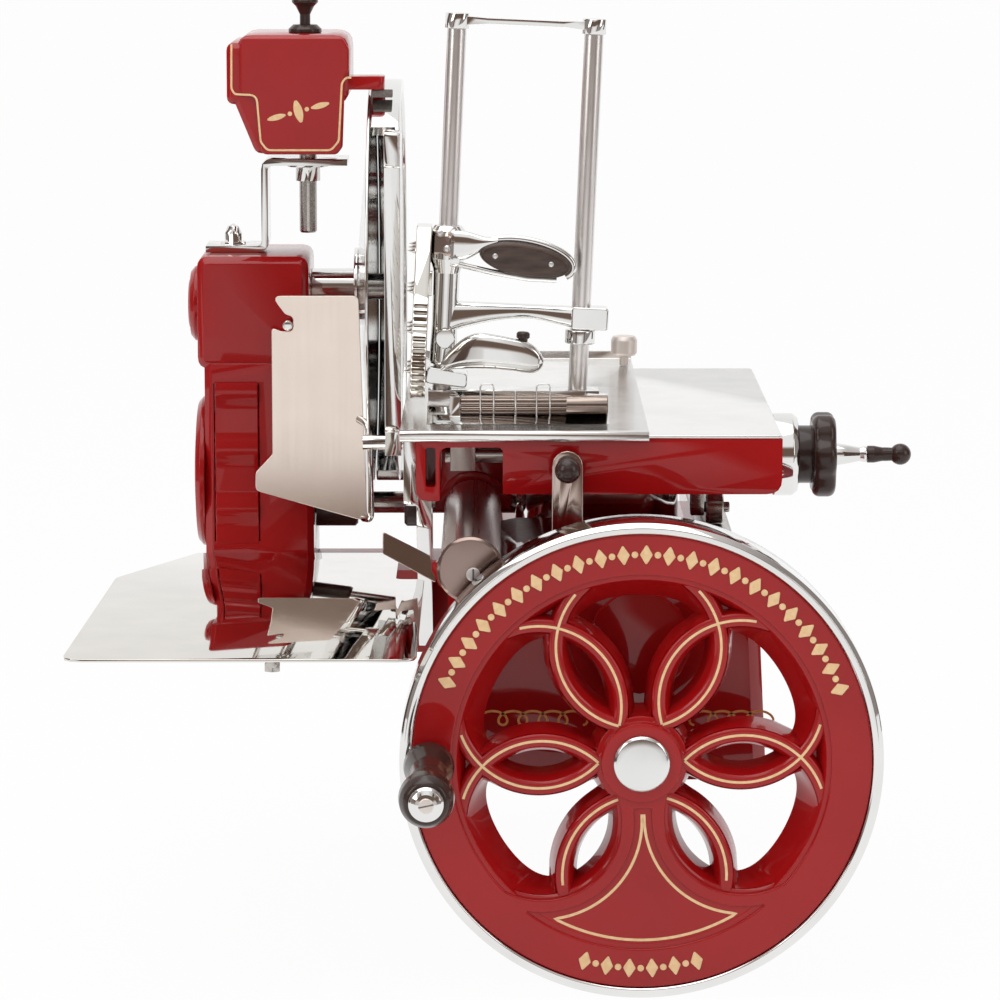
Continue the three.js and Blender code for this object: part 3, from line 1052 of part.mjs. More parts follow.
function pressPieces(parent, leftX) {
  const p = press;
  const columnBody = turnedZ([[0, p.bottom], [p.columnRadius - 1.5, p.bottom],
    [p.columnRadius, p.bottom + 2],
    [p.columnRadius - 1, p.armTop + 3], [p.columnRadius, p.headBottom - 6], [p.headRadius, p.headBottom],
    [p.headRadius, p.headTop - 3],
    [p.headRadius - 3, p.headTop], [0, p.headTop]], leftX, 0, facets.shaft);
  const armShape = outline([[leftX, p.armTop], [leftX, p.armBottom - 4], [leftX + 26, p.armBottom + 7, 12],
    [-26, p.armBottom + 8, 10], [-9, p.armBottom], [p.armRight, p.armBottom + 1, 3],
    [p.armRight, p.armTop, 3]]);
  const armBody = alongY(armShape, -p.armDepth / 2, p.armDepth / 2);
  const rightBoss = rodZ(0, 0, 11.5, p.armBottom - 2, p.armTop + 1, facets.shaft);
  const disc = rodY(leftX + 1, 47, 7.2, -14, 0, facets.shaft);
  const ear = box(leftX + 2, -17, grip.pivotZ - 7, leftX + 17, -12, grip.pivotZ + 6);
  const pivotBlock = alongZ(rectangle(leftX - 10, -13.2, leftX + 16, 12, 4), 13 + p.bottom - 12,
    p.bottom + 10);
  const bores = join(rodZ(leftX, 0, p.bore, 0, clamp.height, facets.shaft),
    rodZ(0, 0, p.bore, 0, clamp.height, facets.shaft),
    rodY(grip.pivotX, grip.pivotZ, grip.pin + seat, -farCut, -9, facets.pin),
    rodY(paddle.pivotX, paddle.pivotZ, paddle.pin + seat, -farCut, -7, facets.pin));
  addPiece("press_body", cut(join(columnBody, armBody, rightBoss, disc, ear, pivotBlock), bores), chrome,
    parent);

  const plate = pressPlate;
  const edge = [];
  const pitch = (plate.top - plate.bottom - 20) / plate.teeth;
  for (let i = 0; i < plate.teeth; i++) {
    const z = plate.bottom + 10 + i * pitch;
    const width = plate.reach * Math.sin(THREE.MathUtils.degToRad(55 + (i * 100) / plate.teeth));
    edge.push([width, z], [width + plate.toothDepth, z + pitch * 0.35], [width, z + pitch * 0.7]);
  }
  const mirrored = edge.map(([y, z]) => [-y, z]).reverse();
  const face = outline([[-24, plate.bottom], [24, plate.bottom], ...edge, [16, plate.top],
    [-16, plate.top], ...mirrored]);
  const spikes = [];
  for (let i = 0; i < plate.pins; i++) {
    const z = plate.bottom + 20 + (i * (plate.top - plate.bottom - 36)) / (plate.pins - 1);
    for (const y of [-26, 0, 26]) {
      spikes.push(turnedX([[0, plate.left - 6], [2.4, plate.left + 0.5], [0, plate.left + 0.5]], y, z, 4));
    }
  }
  const mount = box(plate.right - 1, -9, plate.mountBottom, leftX - p.columnRadius - seat, 9,
    plate.mountTop);
  const relief = rodZ(leftX, 0, p.headRadius + seat, 0, clamp.height, facets.shaft);
  addPiece("press_plate", cut(join(alongX(face, plate.left, plate.right), mount, ...spikes), relief),
    chrome, parent);
  leverPieces(parent, leftX);
}

function leverPieces(parent, leftX) {
  const g = grip;
  const y1 = -18;
  const y0 = y1 - g.depth;
  const lean = Math.atan2(g.gripZ - g.pivotZ, g.gripX - g.pivotX);
  const oval = (along, across, steps) => Array.from({ length: steps }, (_, i) => {
    const angle = (i * 2 * Math.PI) / steps;
    const a = along * Math.cos(angle);
    const b = across * Math.sin(angle);
    const tilt = lean * 0.55;
    return [g.gripX + a * Math.cos(tilt) - b * Math.sin(tilt),
      g.gripZ + a * Math.sin(tilt) + b * Math.cos(tilt)];
  });
  const ring = cut(alongY(outline(oval(g.halfLength + 6, g.halfHeight + 4, 28)), y0 + 1.5, y1 - 1.5),
    box(g.gripX - 2 * g.halfLength, y0, g.gripZ - g.halfLength, g.gripX - g.barJoin, y1, g.gripZ + 1));
  const neck = alongY(outline([[g.pivotX - 7, g.gripZ + 1, 4], [g.gripX - g.halfLength + 4, g.gripZ + 1],
    [g.gripX - g.halfLength + 6, g.gripZ + 12], [g.pivotX + 6, g.pivotZ + 7, 4],
    [g.pivotX - 7, g.pivotZ + 7, 4]]),
    y0, y1);
  const barEnd = g.gripX - 4;
  const lowerBar = alongY(outline([[g.pivotX - 2, g.gripZ - 2.5], [g.pivotX - 2, g.gripZ - 6],
    [g.gripX - g.barJoin, g.gripZ - 11], [barEnd, g.gripZ - 15.5], [barEnd, g.gripZ - 12],
    [g.gripX - g.barJoin, g.gripZ - 7.5]]), y0 + 1.5, y1 - 1.5);
  const barRoot = box(g.pivotX - 6, y0 + 1.5, g.gripZ - 6, g.pivotX - 1, y1 - 1.5, g.pivotZ - 2);
  const pin = rodY(g.pivotX, g.pivotZ, g.pin, y1 - 1, -10, facets.pin);
  const relief = alongY(outline(oval(g.halfLength + seat, g.halfHeight + seat, 20)), y0 - 2, y1 + 2);
  addPiece("press_lever", join(cut(join(ring, neck, lowerBar, barRoot), relief), pin), chrome, parent);
  addPiece("press_grip", alongY(outline(oval(g.halfLength, g.halfHeight, 20)), y0 - 2, y1 + 2, 2.5),
    brownPlastic, parent);
  const k = paddle;
  const { pivotX: px, pivotZ: pz } = k;
  const leaf = alongY(outline([[px - 7, pz], [px + 7, pz + 14, 8], [px + 20, pz + 19.5, 9],
    [px + 43, pz + 19.5, 9],
    [px + 61, pz + 9, 8], [px + k.length, pz + 1, 5], [px + 64, pz - 6, 5], [px + 45, pz - 8.5, 9],
    [px + 17, pz - 4.5, 9],
    [px - 1, pz - 9]]), k.front, k.back, 2);
  addPiece("lock_paddle", join(leaf, rodY(px, pz, k.pin, k.back - 4, -8, facets.pin)), chrome, parent);
}

bodyPieces();
drivePieces();
flywheelPieces();
bladePieces();
gaugePieces();
deflectorPieces();
trayPieces();
sharpenerPieces();
carriagePieces();
feedPieces();
clampTablePieces();
clampFramePieces();

export default slicer;
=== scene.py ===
# Looks of the hand crank meat slicer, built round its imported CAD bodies.
# Sizes below are in millimetres, in the frame of the CAD, and become metres in the meshes.

import json
import math

import bmesh
import bpy
from mathutils import Matrix, Vector


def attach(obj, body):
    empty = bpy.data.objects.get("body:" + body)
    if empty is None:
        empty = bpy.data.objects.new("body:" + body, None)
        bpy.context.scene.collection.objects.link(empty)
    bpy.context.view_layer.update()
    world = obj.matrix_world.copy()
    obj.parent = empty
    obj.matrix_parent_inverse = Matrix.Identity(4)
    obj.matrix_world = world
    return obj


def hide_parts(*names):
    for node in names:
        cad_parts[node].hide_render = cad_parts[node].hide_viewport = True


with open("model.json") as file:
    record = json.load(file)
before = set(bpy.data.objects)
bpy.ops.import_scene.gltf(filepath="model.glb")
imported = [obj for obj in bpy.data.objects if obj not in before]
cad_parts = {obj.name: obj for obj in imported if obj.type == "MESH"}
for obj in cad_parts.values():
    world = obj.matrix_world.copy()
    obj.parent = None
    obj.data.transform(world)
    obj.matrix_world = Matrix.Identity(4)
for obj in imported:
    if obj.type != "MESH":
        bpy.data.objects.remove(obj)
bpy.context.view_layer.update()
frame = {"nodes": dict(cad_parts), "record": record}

MM = 0.001
TINY = 1e-6  # lengths below this count as nothing
BODY_OF = {node: body for body, nodes in frame["record"]["behaviour"]["bodies"].items() for node in nodes}

# Sizes shared by several pieces

DRIVE_X, DRIVE_Z = 17, 27  # the flywheel's axis
WHEEL_FACE = -330
BLADE_Y, BLADE_Z, BLADE_X = 110, 309, -157  # the blade's axis and its right face
BASE_FRONT = -260
CROSS_Z = 140  # the cross shaft's height
TUBE_X, TUBE_Z, TUBE_FRONT, TUBE_BACK = -100.5, 151.5, -272, 258
FEED_Y, FEED_Z = -116, 210  # the feed screw's axis
PIVOT_X, PIVOT_Y = -228, 110  # the sharpener's upright pivot
CLAMP_X, CLAMP_Y, CLAMP_LEAN = -25, -140, 2.5  # foot of the right post, and the frame's lean in degrees
POST_SPACING = 97.5
CARRIAGE_RIGHT = 117.4
CLAMP_TOP = 243.6
SEAT = 0.3  # gap between pieces that turn or rest on one another


# Outlines

SHARPEST, FLATTEST = math.radians(2), math.radians(172)  # only corners between these angles are rounded


def arc(a, b, radius, start, end, steps):
    """Points of an arc round (a, b), angles in degrees."""
    turns = [math.radians(start + (end - start) * i / steps) for i in range(steps + 1)]
    return [(a + radius * math.cos(t), b + radius * math.sin(t)) for t in turns]


def circle(a, b, radius, steps=96):
    return arc(a, b, radius, 0, 360, steps)[:-1]


def rectangle(left, right, low, high):
    return [(left, low), (right, low), (right, high), (left, high)]


def shifted(profile, start):
    """A profile whose distances along the axis are counted from start."""
    return [(radius, start + along) for radius, along in profile]


def turned(points, centre, degrees):
    """Flat points turned about a centre."""
    c, s = math.cos(math.radians(degrees)), math.sin(math.radians(degrees))
    ways = [(a - centre[0], b - centre[1]) for a, b in points]
    return [(centre[0] + c * a - s * b, centre[1] + s * a + c * b) for a, b in ways]


def soften(points, radius, steps=4, closed=True):
    """The outline with every corner rounded, by less where a side is short."""
    count = len(points)
    result = []
    for i, point in enumerate(points):
        if not closed and i in (0, count - 1):
            result.append(point)
            continue
        here = Vector(point)
        to_last = Vector(points[i - 1]) - here
        to_next = Vector(points[(i + 1) % count]) - here
        if min(to_last.length, to_next.length) < TINY:
            continue
        turn = to_last.angle(to_next)
        if not SHARPEST < turn < FLATTEST:
            result.append(point)
            continue
        reach = min(radius / math.tan(turn / 2), 0.45 * to_last.length, 0.45 * to_next.length)
        start = here + to_last.normalized() * reach
        end = here + to_next.normalized() * reach
        for k in range(steps + 1):
            t = k / steps
            result.append(tuple((1 - t) ** 2 * start + 2 * t * (1 - t) * here + t ** 2 * end))
    return result


# Meshes

def on_axis(axis, u, v, along):
    """A point of a body about an axis: u and v are the other two coordinates in X, Y, Z order."""
    if axis == "X":
        return Vector((along, u, v)) * MM
    if axis == "Y":
        return Vector((u, along, v)) * MM
    return Vector((u, v, along)) * MM


def in_scene(name, data):
    """A new object in the scene."""
    thing = bpy.data.objects.new(name, data)
    bpy.context.scene.collection.objects.link(thing)
    return thing


def as_mesh(bm, name):
    mesh = bpy.data.meshes.new(name)
    bm.to_mesh(mesh)
    bm.free()
    return mesh


def finished(bm, name):
    """The mesh with its seams closed and its faces turned outwards."""
    bmesh.ops.remove_doubles(bm, verts=bm.verts, dist=TINY)
    bmesh.ops.recalc_face_normals(bm, faces=bm.faces)
    return as_mesh(bm, name)


def lathe(profile, axis, centre, soft, segments=96, closed=False, steps=3):
    """A body turned about an axis from profile points (radius, distance along the axis)."""
    points = soften(profile, soft, steps, closed) if soft else profile
    bm = bmesh.new()
    rings = []
    for radius, along in points:
        if radius < TINY:
            rings.append([bm.verts.new(on_axis(axis, *centre, along))])
            continue
        ring = [on_axis(axis, *point, along) for point in circle(*centre, radius, segments)]
        rings.append([bm.verts.new(place) for place in ring])
    last = len(rings) if closed else len(rings) - 1
    for i in range(last):
        join_rings(bm, rings[i], rings[(i + 1) % len(rings)], segments)
    return finished(bm, "lathe")


def join_rings(bm, a, b, segments):
    if len(a) == 1 and len(b) == 1:
        return
    for k in range(segments):
        n = (k + 1) % segments
        if len(a) == 1:
            bm.faces.new((a[0], b[k], b[n]))
        elif len(b) == 1:
            bm.faces.new((a[k], a[n], b[0]))
        else:
            bm.faces.new((a[k], a[n], b[n], b[k]))


def rod(axis, centre, radius, start, end, soft=0.4, segments=64):
    return lathe([(0, start), (radius, start), (radius, end), (0, end)], axis, centre, soft, segments)


TURN = {
    "X": Matrix(((0, 0, 1, 0), (1, 0, 0, 0), (0, 1, 0, 0), (0, 0, 0, 1))),
    "Y": Matrix(((1, 0, 0, 0), (0, 0, -1, 0), (0, 1, 0, 0), (0, 0, 0, 1))),
    "Z": Matrix.Identity(4),
}


def curve_mesh(curve):
    holder = in_scene("outline", curve)
    depsgraph = bpy.context.evaluated_depsgraph_get()
    mesh = bpy.data.meshes.new_from_object(holder.evaluated_get(depsgraph))
    bpy.data.objects.remove(holder)
    return mesh


def plate(outlines, axis, start, end, edge, rounds=2):
    """Outlines filled, the inner ones as holes, swept along an axis, with rounded edges."""
    curve = bpy.data.curves.new("outline", "CURVE")
    curve.dimensions = "2D"
    curve.fill_mode = "BOTH"
    curve.extrude = ((end - start) / 2 - edge) * MM
    curve.bevel_depth = edge * MM
    curve.bevel_resolution = rounds
    curve.offset = -edge * MM
    for points in outlines:
        spline = curve.splines.new("POLY")
        spline.points.add(len(points) - 1)
        for target, (a, b) in zip(spline.points, points):
            target.co = (a * MM, b * MM, 0, 1)
        spline.use_cyclic_u = True
    mesh = curve_mesh(curve)
    mesh.transform(TURN[axis])
    middle = (start + end) / 2 * MM
    mesh.transform(Matrix.Translation([middle if axis == name else 0 for name in "XYZ"]))
    return mesh


def wire(points, radius, closed=False, sides=3):
    """A round wire through points in millimetres."""
    curve = bpy.data.curves.new("wire", "CURVE")
    curve.dimensions = "3D"
    curve.bevel_depth = radius * MM
    curve.bevel_resolution = sides
    curve.use_fill_caps = True
    spline = curve.splines.new("POLY")
    spline.points.add(len(points) - 1)
    for target, point in zip(spline.points, points):
        target.co = (*[value * MM for value in point], 1)
    spline.use_cyclic_u = closed
    return curve_mesh(curve)


def swept(sections, steps=36, power=2.4):
    """A crowned bar along X through sections (x, middle y, half depth, lowest z, highest z)."""
    bm = bmesh.new()
    rings = []
    for x, y, depth, low, high in sections:
        ring = []
        for k in range(steps):
            turn = 2 * math.pi * k / steps
            a, b = math.cos(turn), math.sin(turn)
            across = math.copysign(abs(a) ** (2 / power), a) * depth
            up = math.copysign(abs(b) ** (2 / power), b) * (high - low) / 2
            ring.append(bm.verts.new(Vector((x, y + across, (low + high) / 2 + up)) * MM))
        rings.append(ring)
    for a, b in zip(rings, rings[1:]):
        join_rings(bm, a, b, steps)
    bm.faces.new(rings[0])
    bm.faces.new(rings[-1])
    return finished(bm, "swept")


def between(rows, x, column):
    """The value at x on a smooth curve through rows (x, ...) in order."""
    last = len(rows) - 1
    i = max(k for k in range(last) if rows[k][0] <= x or k == 0)
    (x0, v0), (x1, v1) = [(rows[k][0], rows[k][column]) for k in (i, i + 1)]

    def slope(k):
        a, b = rows[max(0, k - 1)], rows[min(last, k + 1)]
        return (b[column] - a[column]) / (b[0] - a[0]) * (x1 - x0)

    t = min(1, max(0, (x - x0) / (x1 - x0)))
    return ((1 + 2 * t) * (1 - t) ** 2 * v0 + t * (1 - t) ** 2 * slope(i)
            + t * t * (3 - 2 * t) * v1 + t * t * (t - 1) * slope(i + 1))


def merged(*meshes):
    bm = bmesh.new()
    for mesh in meshes:
        bm.from_mesh(mesh)
    return as_mesh(bm, "merged")


def leaning(mesh):
    """Moves a mesh from the clamp frame's own axes to its place on the clamp table."""
    turn = Matrix.Rotation(math.radians(CLAMP_LEAN), 4, "Y")
    mesh.transform(Matrix.Translation(Vector((CLAMP_X, CLAMP_Y, CLAMP_TOP + SEAT)) * MM) @ turn)
    return mesh


def add(name, mesh, material, node, smooth=38, bevel=0.0):
    """A piece that rides on the body of a CAD node."""
    mesh.materials.clear()
    mesh.materials.append(material)
    mesh.polygons.foreach_set("use_smooth", [True] * len(mesh.polygons))
    if not bevel:
        mesh.set_sharp_from_angle(angle=math.radians(smooth))
    piece = in_scene(name, mesh)
    if bevel:
        rounding = piece.modifiers.new("edges", "BEVEL")
        rounding.width = bevel * MM
        rounding.segments = 2
        rounding.limit_method = "ANGLE"
        rounding.angle_limit = math.radians(smooth)
        rounding.harden_normals = True
        rounding.use_clamp_overlap = True
    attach(piece, BODY_OF[node])
    return piece


def remake(node, mesh, material, **options):
    """A finer piece in place of a CAD node."""
    piece = add(node + "_look", mesh, material, node, **options)
    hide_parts(node)


def rounded_copy(node, material, bevel, smooth=34):
    """The CAD node's own form with its edges rounded."""
    bm = bmesh.new()
    bm.from_mesh(frame["nodes"][node].data)
    bmesh.ops.remove_doubles(bm, verts=bm.verts, dist=2 * TINY)
    flat = math.radians(0.6)
    bmesh.ops.dissolve_limit(bm, angle_limit=flat, verts=bm.verts, edges=bm.edges)
    remake(node, as_mesh(bm, node), material, bevel=bevel, smooth=smooth)


# Materials

def new_material(name):
    material = bpy.data.materials.new(name)
    material.use_nodes = True
    nodes = material.node_tree.nodes
    return material, nodes, material.node_tree.links, nodes["Principled BSDF"]


def noise(nodes, links, scale, detail, stretch=(1, 1, 1)):
    """Noise in the object's own metres, drawn out along an axis where stretch is small."""
    place = nodes.new("ShaderNodeTexCoord")
    mapping = nodes.new("ShaderNodeMapping")
    mapping.inputs["Scale"].default_value = stretch
    texture = nodes.new("ShaderNodeTexNoise")
    texture.inputs["Scale"].default_value = scale
    texture.inputs["Detail"].default_value = detail
    links.new(place.outputs["Object"], mapping.inputs["Vector"])
    links.new(mapping.outputs["Vector"], texture.inputs["Vector"])
    return texture.outputs["Fac"]


def spread(nodes, links, source, low, high, start=0.3, end=0.7):
    """The source's values from start to end, as low to high."""
    node = nodes.new("ShaderNodeMapRange")
    for name, value in (("From Min", start), ("From Max", end), ("To Min", low), ("To Max", high)):
        node.inputs[name].default_value = value
    links.new(source, node.inputs["Value"])
    return node.outputs["Result"]


def two_colours(nodes, links, factor, first, second):
    node = nodes.new("ShaderNodeMix")
    node.data_type = "RGBA"
    node.inputs["A"].default_value = (*first, 1)
    node.inputs["B"].default_value = (*second, 1)
    links.new(factor, node.inputs["Factor"])
    return node.outputs["Result"]


def tint(nodes, links, shader, pattern, first, second):
    """The base colour, from first to second as the pattern goes."""
    tone = two_colours(nodes, links, spread(nodes, links, pattern, 0, 1), first, second)
    links.new(tone, shader.inputs["Base Color"])


def bump(nodes, links, shader, height, strength, distance=0.001):
    node = nodes.new("ShaderNodeBump")
    node.inputs["Strength"].default_value = strength
    node.inputs["Distance"].default_value = distance
    links.new(height, node.inputs["Height"])
    links.new(node.outputs["Normal"], shader.inputs["Normal"])


def enamel(name, colour, deep):
    """Thick glossy enamel over a casting: a slow waviness, and a deeper colour in places."""
    material, nodes, links, shader = new_material(name)
    tint(nodes, links, shader, noise(nodes, links, 9, 4), deep, colour)
    fine = noise(nodes, links, 160, 2)
    links.new(spread(nodes, links, fine, 0.30, 0.36), shader.inputs["Roughness"])
    bump(nodes, links, shader, noise(nodes, links, 45, 1), 0.02)
    shader.inputs["Coat Weight"].default_value = 0.7
    shader.inputs["Coat Roughness"].default_value = 0.03
    shader.inputs["Specular IOR Level"].default_value = 0.1
    return material


def metal(name, colour, rough, spot, grain=None, waviness=0.0, metallic=1):
    """Bare or plated metal: smudges in the gloss, and a brushed grain where grain is given."""
    material, nodes, links, shader = new_material(name)
    shader.inputs["Metallic"].default_value = metallic
    darker = tuple(value * 0.93 for value in colour)
    tint(nodes, links, shader, noise(nodes, links, 22, 4), darker, colour)
    if grain:
        lines = noise(nodes, links, 1, 2, grain)
        links.new(spread(nodes, links, lines, rough - spot, rough + spot), shader.inputs["Roughness"])
        bump(nodes, links, shader, lines, 0.06, 0.0003)
    else:
        smudge = noise(nodes, links, 60, 5)
        links.new(spread(nodes, links, smudge, rough, rough + spot), shader.inputs["Roughness"])
        if waviness:
            bump(nodes, links, shader, noise(nodes, links, 14, 1), waviness)
    return material


def plastic(name, colour, light, rough, grain=None):
    """Moulded plastic with faint clouds, or long streaks where grain is given."""
    material, nodes, links, shader = new_material(name)
    cloud = noise(nodes, links, 1 if grain else 35, 4, grain or (1, 1, 1))
    tint(nodes, links, shader, cloud, colour, light)
    fine = noise(nodes, links, 240, 3)
    links.new(spread(nodes, links, fine, rough, rough + 0.06), shader.inputs["Roughness"])
    bump(nodes, links, shader, fine, 0.002)
    shader.inputs["Specular IOR Level"].default_value = 0.3
    shader.inputs["Coat Weight"].default_value = 0.2
    shader.inputs["Coat Roughness"].default_value = 0.1
    return material


def matte(name, colour, light, rough, scale):
    """Paint or stone of fine grains between two colours."""
    material, nodes, links, shader = new_material(name)
    grains = noise(nodes, links, scale, 6)
    tint(nodes, links, shader, grains, colour, light)
    shader.inputs["Roughness"].default_value = rough
    bump(nodes, links, shader, grains, 0.3, 0.0004)
    return material


RED = enamel("red_enamel", (0.41, 0.006, 0.007), (0.34, 0.005, 0.006))
CHROME = metal("polished_chrome", (0.83, 0.825, 0.81), 0.045, 0.05)
SHEET = metal("polished_sheet", (0.765, 0.74, 0.695), 0.02, 0.025, waviness=0.002)
TABLE = metal("table_plate", (0.90, 0.885, 0.86), 0.16, 0.06)
HUB_SATIN = metal("hub_satin", (0.90, 0.895, 0.885), 0.38, 0.04)
HUB_METAL = metal("hub_metal", (0.82, 0.82, 0.81), 0.14, 0.03)
SATIN = metal("satin_sheet", (0.92, 0.80, 0.715), 0.17, 0.02, grain=(300, 300, 6), metallic=0.8)
POST_STEEL = metal("post_steel", (0.88, 0.85, 0.83), 0.3, 0.04)
CAP_STEEL = metal("cap_steel", (0.34, 0.25, 0.22), 0.16, 0.04)
BAR_STEEL = metal("bar_steel", (0.38, 0.31, 0.27), 0.2, 0.05)
STEEL = metal("turned_steel", (0.58, 0.55, 0.52), 0.24, 0.05, grain=(60, 500, 500))
KNOB_SATIN = metal("knob_satin", (0.84, 0.76, 0.71), 0.4, 0.05, metallic=0.6)
WARM_STEEL = metal("warm_steel", (0.60, 0.49, 0.44), 0.12, 0.05)
TUBE_STEEL = metal("tube_steel", (0.92, 0.90, 0.88), 0.3, 0.06, grain=(260, 4, 260))
BLADE_STEEL = metal("blade_steel", (0.80, 0.79, 0.77), 0.11, 0.04)
# Dark steel for the drive chain; the same colour is painted shade on the screw slots, laid as thin strips
# over the screw heads
DARK_STEEL_AND_PAINTED_SLOT_SHADE = metal("dark_steel_and_painted_slot_shade", (0.20, 0.19, 0.18), 0.38, 0.08)
BRONZE = metal("bronze", (0.52, 0.30, 0.12), 0.3, 0.08)
DARK_PLASTIC = plastic("dark_plastic", (0.034, 0.018, 0.014), (0.048, 0.027, 0.022), 0.2)
# Pale colour as a painted glint: it stands in for the bright reflection of the chrome plug above the wheel
# shaft
PALE_PAINTED_GLINT = plastic("pale_painted_glint", (0.74, 0.74, 0.72), (0.84, 0.84, 0.82), 0.15)
BROWN_PLASTIC = plastic("brown_plastic", (0.045, 0.028, 0.022), (0.095, 0.060, 0.048), 0.3, (60, 260, 260))
STONE = matte("grinding_stone", (0.10, 0.085, 0.075), (0.24, 0.21, 0.19), 0.92, 900)
CREAM = matte("cream_paint", (0.86, 0.55, 0.28), (0.95, 0.68, 0.38), 0.45, 300)
GOLD = matte("gold_paint", (0.72, 0.34, 0.09), (0.90, 0.50, 0.17), 0.4, 300)


# Frame pieces

def column_flutes():
    """Three broad rounded bands across the ribbed field on the column's front."""
    left, right, bottom, top = -298, -265, 117, 241
    ground, back, rise, half_band, steps = 54.4, 57, 2.6, 14, 124
    front = []
    for k in range(steps + 1):
        z = bottom + (top - bottom) * k / steps
        swell = sum(max(0, 1 - ((z - crest) / half_band) ** 2) ** 2 for crest in (143, 189, 234))
        front.append((ground - rise * swell, z))
    field = plate([front + [(back, top), (back, bottom)]], "X", left, right, 0.8, 3)
    add("column_flutes", field, RED, "column_casting")


def column_cover(node, height, radius, wall):
    """A round cover with a raised middle, on the column's left wall."""
    profile = [(0, -9), (radius * 0.62, -9), (radius * 0.7, -7.5), (radius - 4, -7.5), (radius, -4),
               (radius, 0), (0, 0)]
    remake(node, lathe(shifted(profile, wall - SEAT), "X", (BLADE_Y, height), 1.2), RED)


def frame_pieces():
    rounded_copy("base_casting", RED, 1.4, 40)
    rounded_copy("column_casting", RED, 1.2, 40)
    column_flutes()
    column_cover("column_upper_cover", 296, 29, -311)
    column_cover("column_lower_cover", 165, 58, -306)
    rounded_copy("gear_housing", CHROME, 1.2, 40)
    tube = rod("Y", (TUBE_X, TUBE_Z), 21.3, TUBE_FRONT, TUBE_BACK, 0.6, 96)
    remake("guide_tube", tube, TUBE_STEEL)
    tube_cap()
    rounded_copy("support_rail", STEEL, 0.6)
    rounded_copy("stop_plate", WARM_STEEL, 0.6)
    sleeve = shifted([(8.8, 0), (18.3, 0), (18.3, 30.2), (16.3, 32.2), (8.8, 32.2)], -222.7)
    remake("shaft_sleeve", lathe(sleeve, "X", (BLADE_Y, CROSS_Z), 0.5, closed=True), BROWN_PLASTIC)
    rounded_copy("drive_chain", DARK_STEEL_AND_PAINTED_SLOT_SHADE, 0.3)
    rounded_copy("receiving_tray", SHEET, 0.4)
    rounded_copy("tray_support_rod", STEEL, 0.3)
    rounded_copy("gauge_bracket", CHROME, 1.4)
    gauge_strap()
    rounded_copy("sharpener_bracket", CHROME, 0.6)
    pin = shifted([(0, 0), (3, 0.2), (3.8, 1.4), (3.8, 4.4), (2.6, 5), (2.6, 31.5), (0, 31.5)], 23.2)
    remake("deflector_pin", lathe(pin, "Y", (-240.5, 288), 0.4, 32), CHROME)


def tube_cap():
    """The cap on the guide tube's end, with a slotted screw near its middle; the slot is a dark strip of
    painted shade on the screw's face.
    """
    front = TUBE_FRONT - 4
    cap = shifted([(0, 0), (21.2, 0), (23.2, 2), (23.2, 5), (0, 5)], front)
    add("tube_cap", lathe(cap, "Y", (TUBE_X, TUBE_Z), 0.8), CAP_STEEL, "guide_tube")
    x, z = TUBE_X + 2, TUBE_Z - 3
    screw = shifted([(0, -0.9), (3.6, -0.8), (4.8, -0.4), (5, 0.2), (0, 0.2)], front)
    add("tube_cap_screw", lathe(screw, "Y", (x, z), 0.2, 48), HUB_SATIN, "guide_tube")
    # The slot is not cut: a thin dark strip just proud of the head is painted shade in place of the slot's
    # recess
    slot = rectangle(x - 0.6, x + 0.6, z - 4, z + 4)
    add("tube_cap_slot_painted_shade", plate([slot], "Y", front - 0.96, front, 0.05), DARK_STEEL_AND_PAINTED_SLOT_SHADE, "guide_tube")


def gauge_strap():
    """A flat bar across the gauge bracket's front that leans back a little."""
    face = soften([(-167, 144), (-131.5, 126), (-127, 105.5), (-167, 127.5)], 1.5)
    y, z, lean = -60.6, 128, -12
    bar = plate([face], "Y", -1.3, 1.3, 0.5)
    bar.transform(Matrix.Translation(Vector((0, 0, -z)) * MM))
    bar.transform(Matrix.Rotation(math.radians(lean), 4, "X"))
    bar.transform(Matrix.Translation(Vector((0, y, z)) * MM))
    add("gauge_strap", bar, WARM_STEEL, "gauge_bracket")


def scroll(start, end, height, loops, size):
    """A painted line from start to end at a height, with equal curls along it."""
    step = (end - start) / loops / (2 * math.pi)
    count = 28 * loops
    turns = [2 * math.pi * loops * k / count for k in range(count + 1)]
    return [(start + step * t - size * math.sin(t), height - size * 0.8 * math.cos(t)) for t in turns]


def base_trim():
    """Gold scrolls painted on the base's front, its screws, and the oval plug above the wheel shaft, whose
    pale colour is a painted glint standing in for a chrome plug's bright reflection.
    """
    lines = [ribbon(scroll(start, end, 44, loops, 6.2), 1.7, BASE_FRONT - 0.15)
             for start, end, loops in ((-92, -22, 5), (56, 108, 4))]
    add("base_scrolls", merged(*lines), GOLD, "base_casting")
    screw = shifted([(0, -3), (3.6, -2.6), (5.4, -0.6), (5.4, 2), (0, 2)], BASE_FRONT)
    screws = [lathe(screw, "Y", place, 0.4, 48) for place in ((-50, 122.8), (81, 125))]
    add("base_screws", merged(*screws), CHROME, "base_casting")
    x, z, half_width, half_height = 16.5, 60.4, 6.5, 12
    oval = [(x + half_width * a, z + half_height * b) for a, b in circle(0, 0, 1, 48)]
    # The plug's pale colour is a painted glint: white catches the light through the wheel's slot where a
    # chrome plug would show a bright reflection
    add("base_plug", plate([oval], "Y", BASE_FRONT - 8, BASE_FRONT - 1, 3, 5), PALE_PAINTED_GLINT, "base_casting")


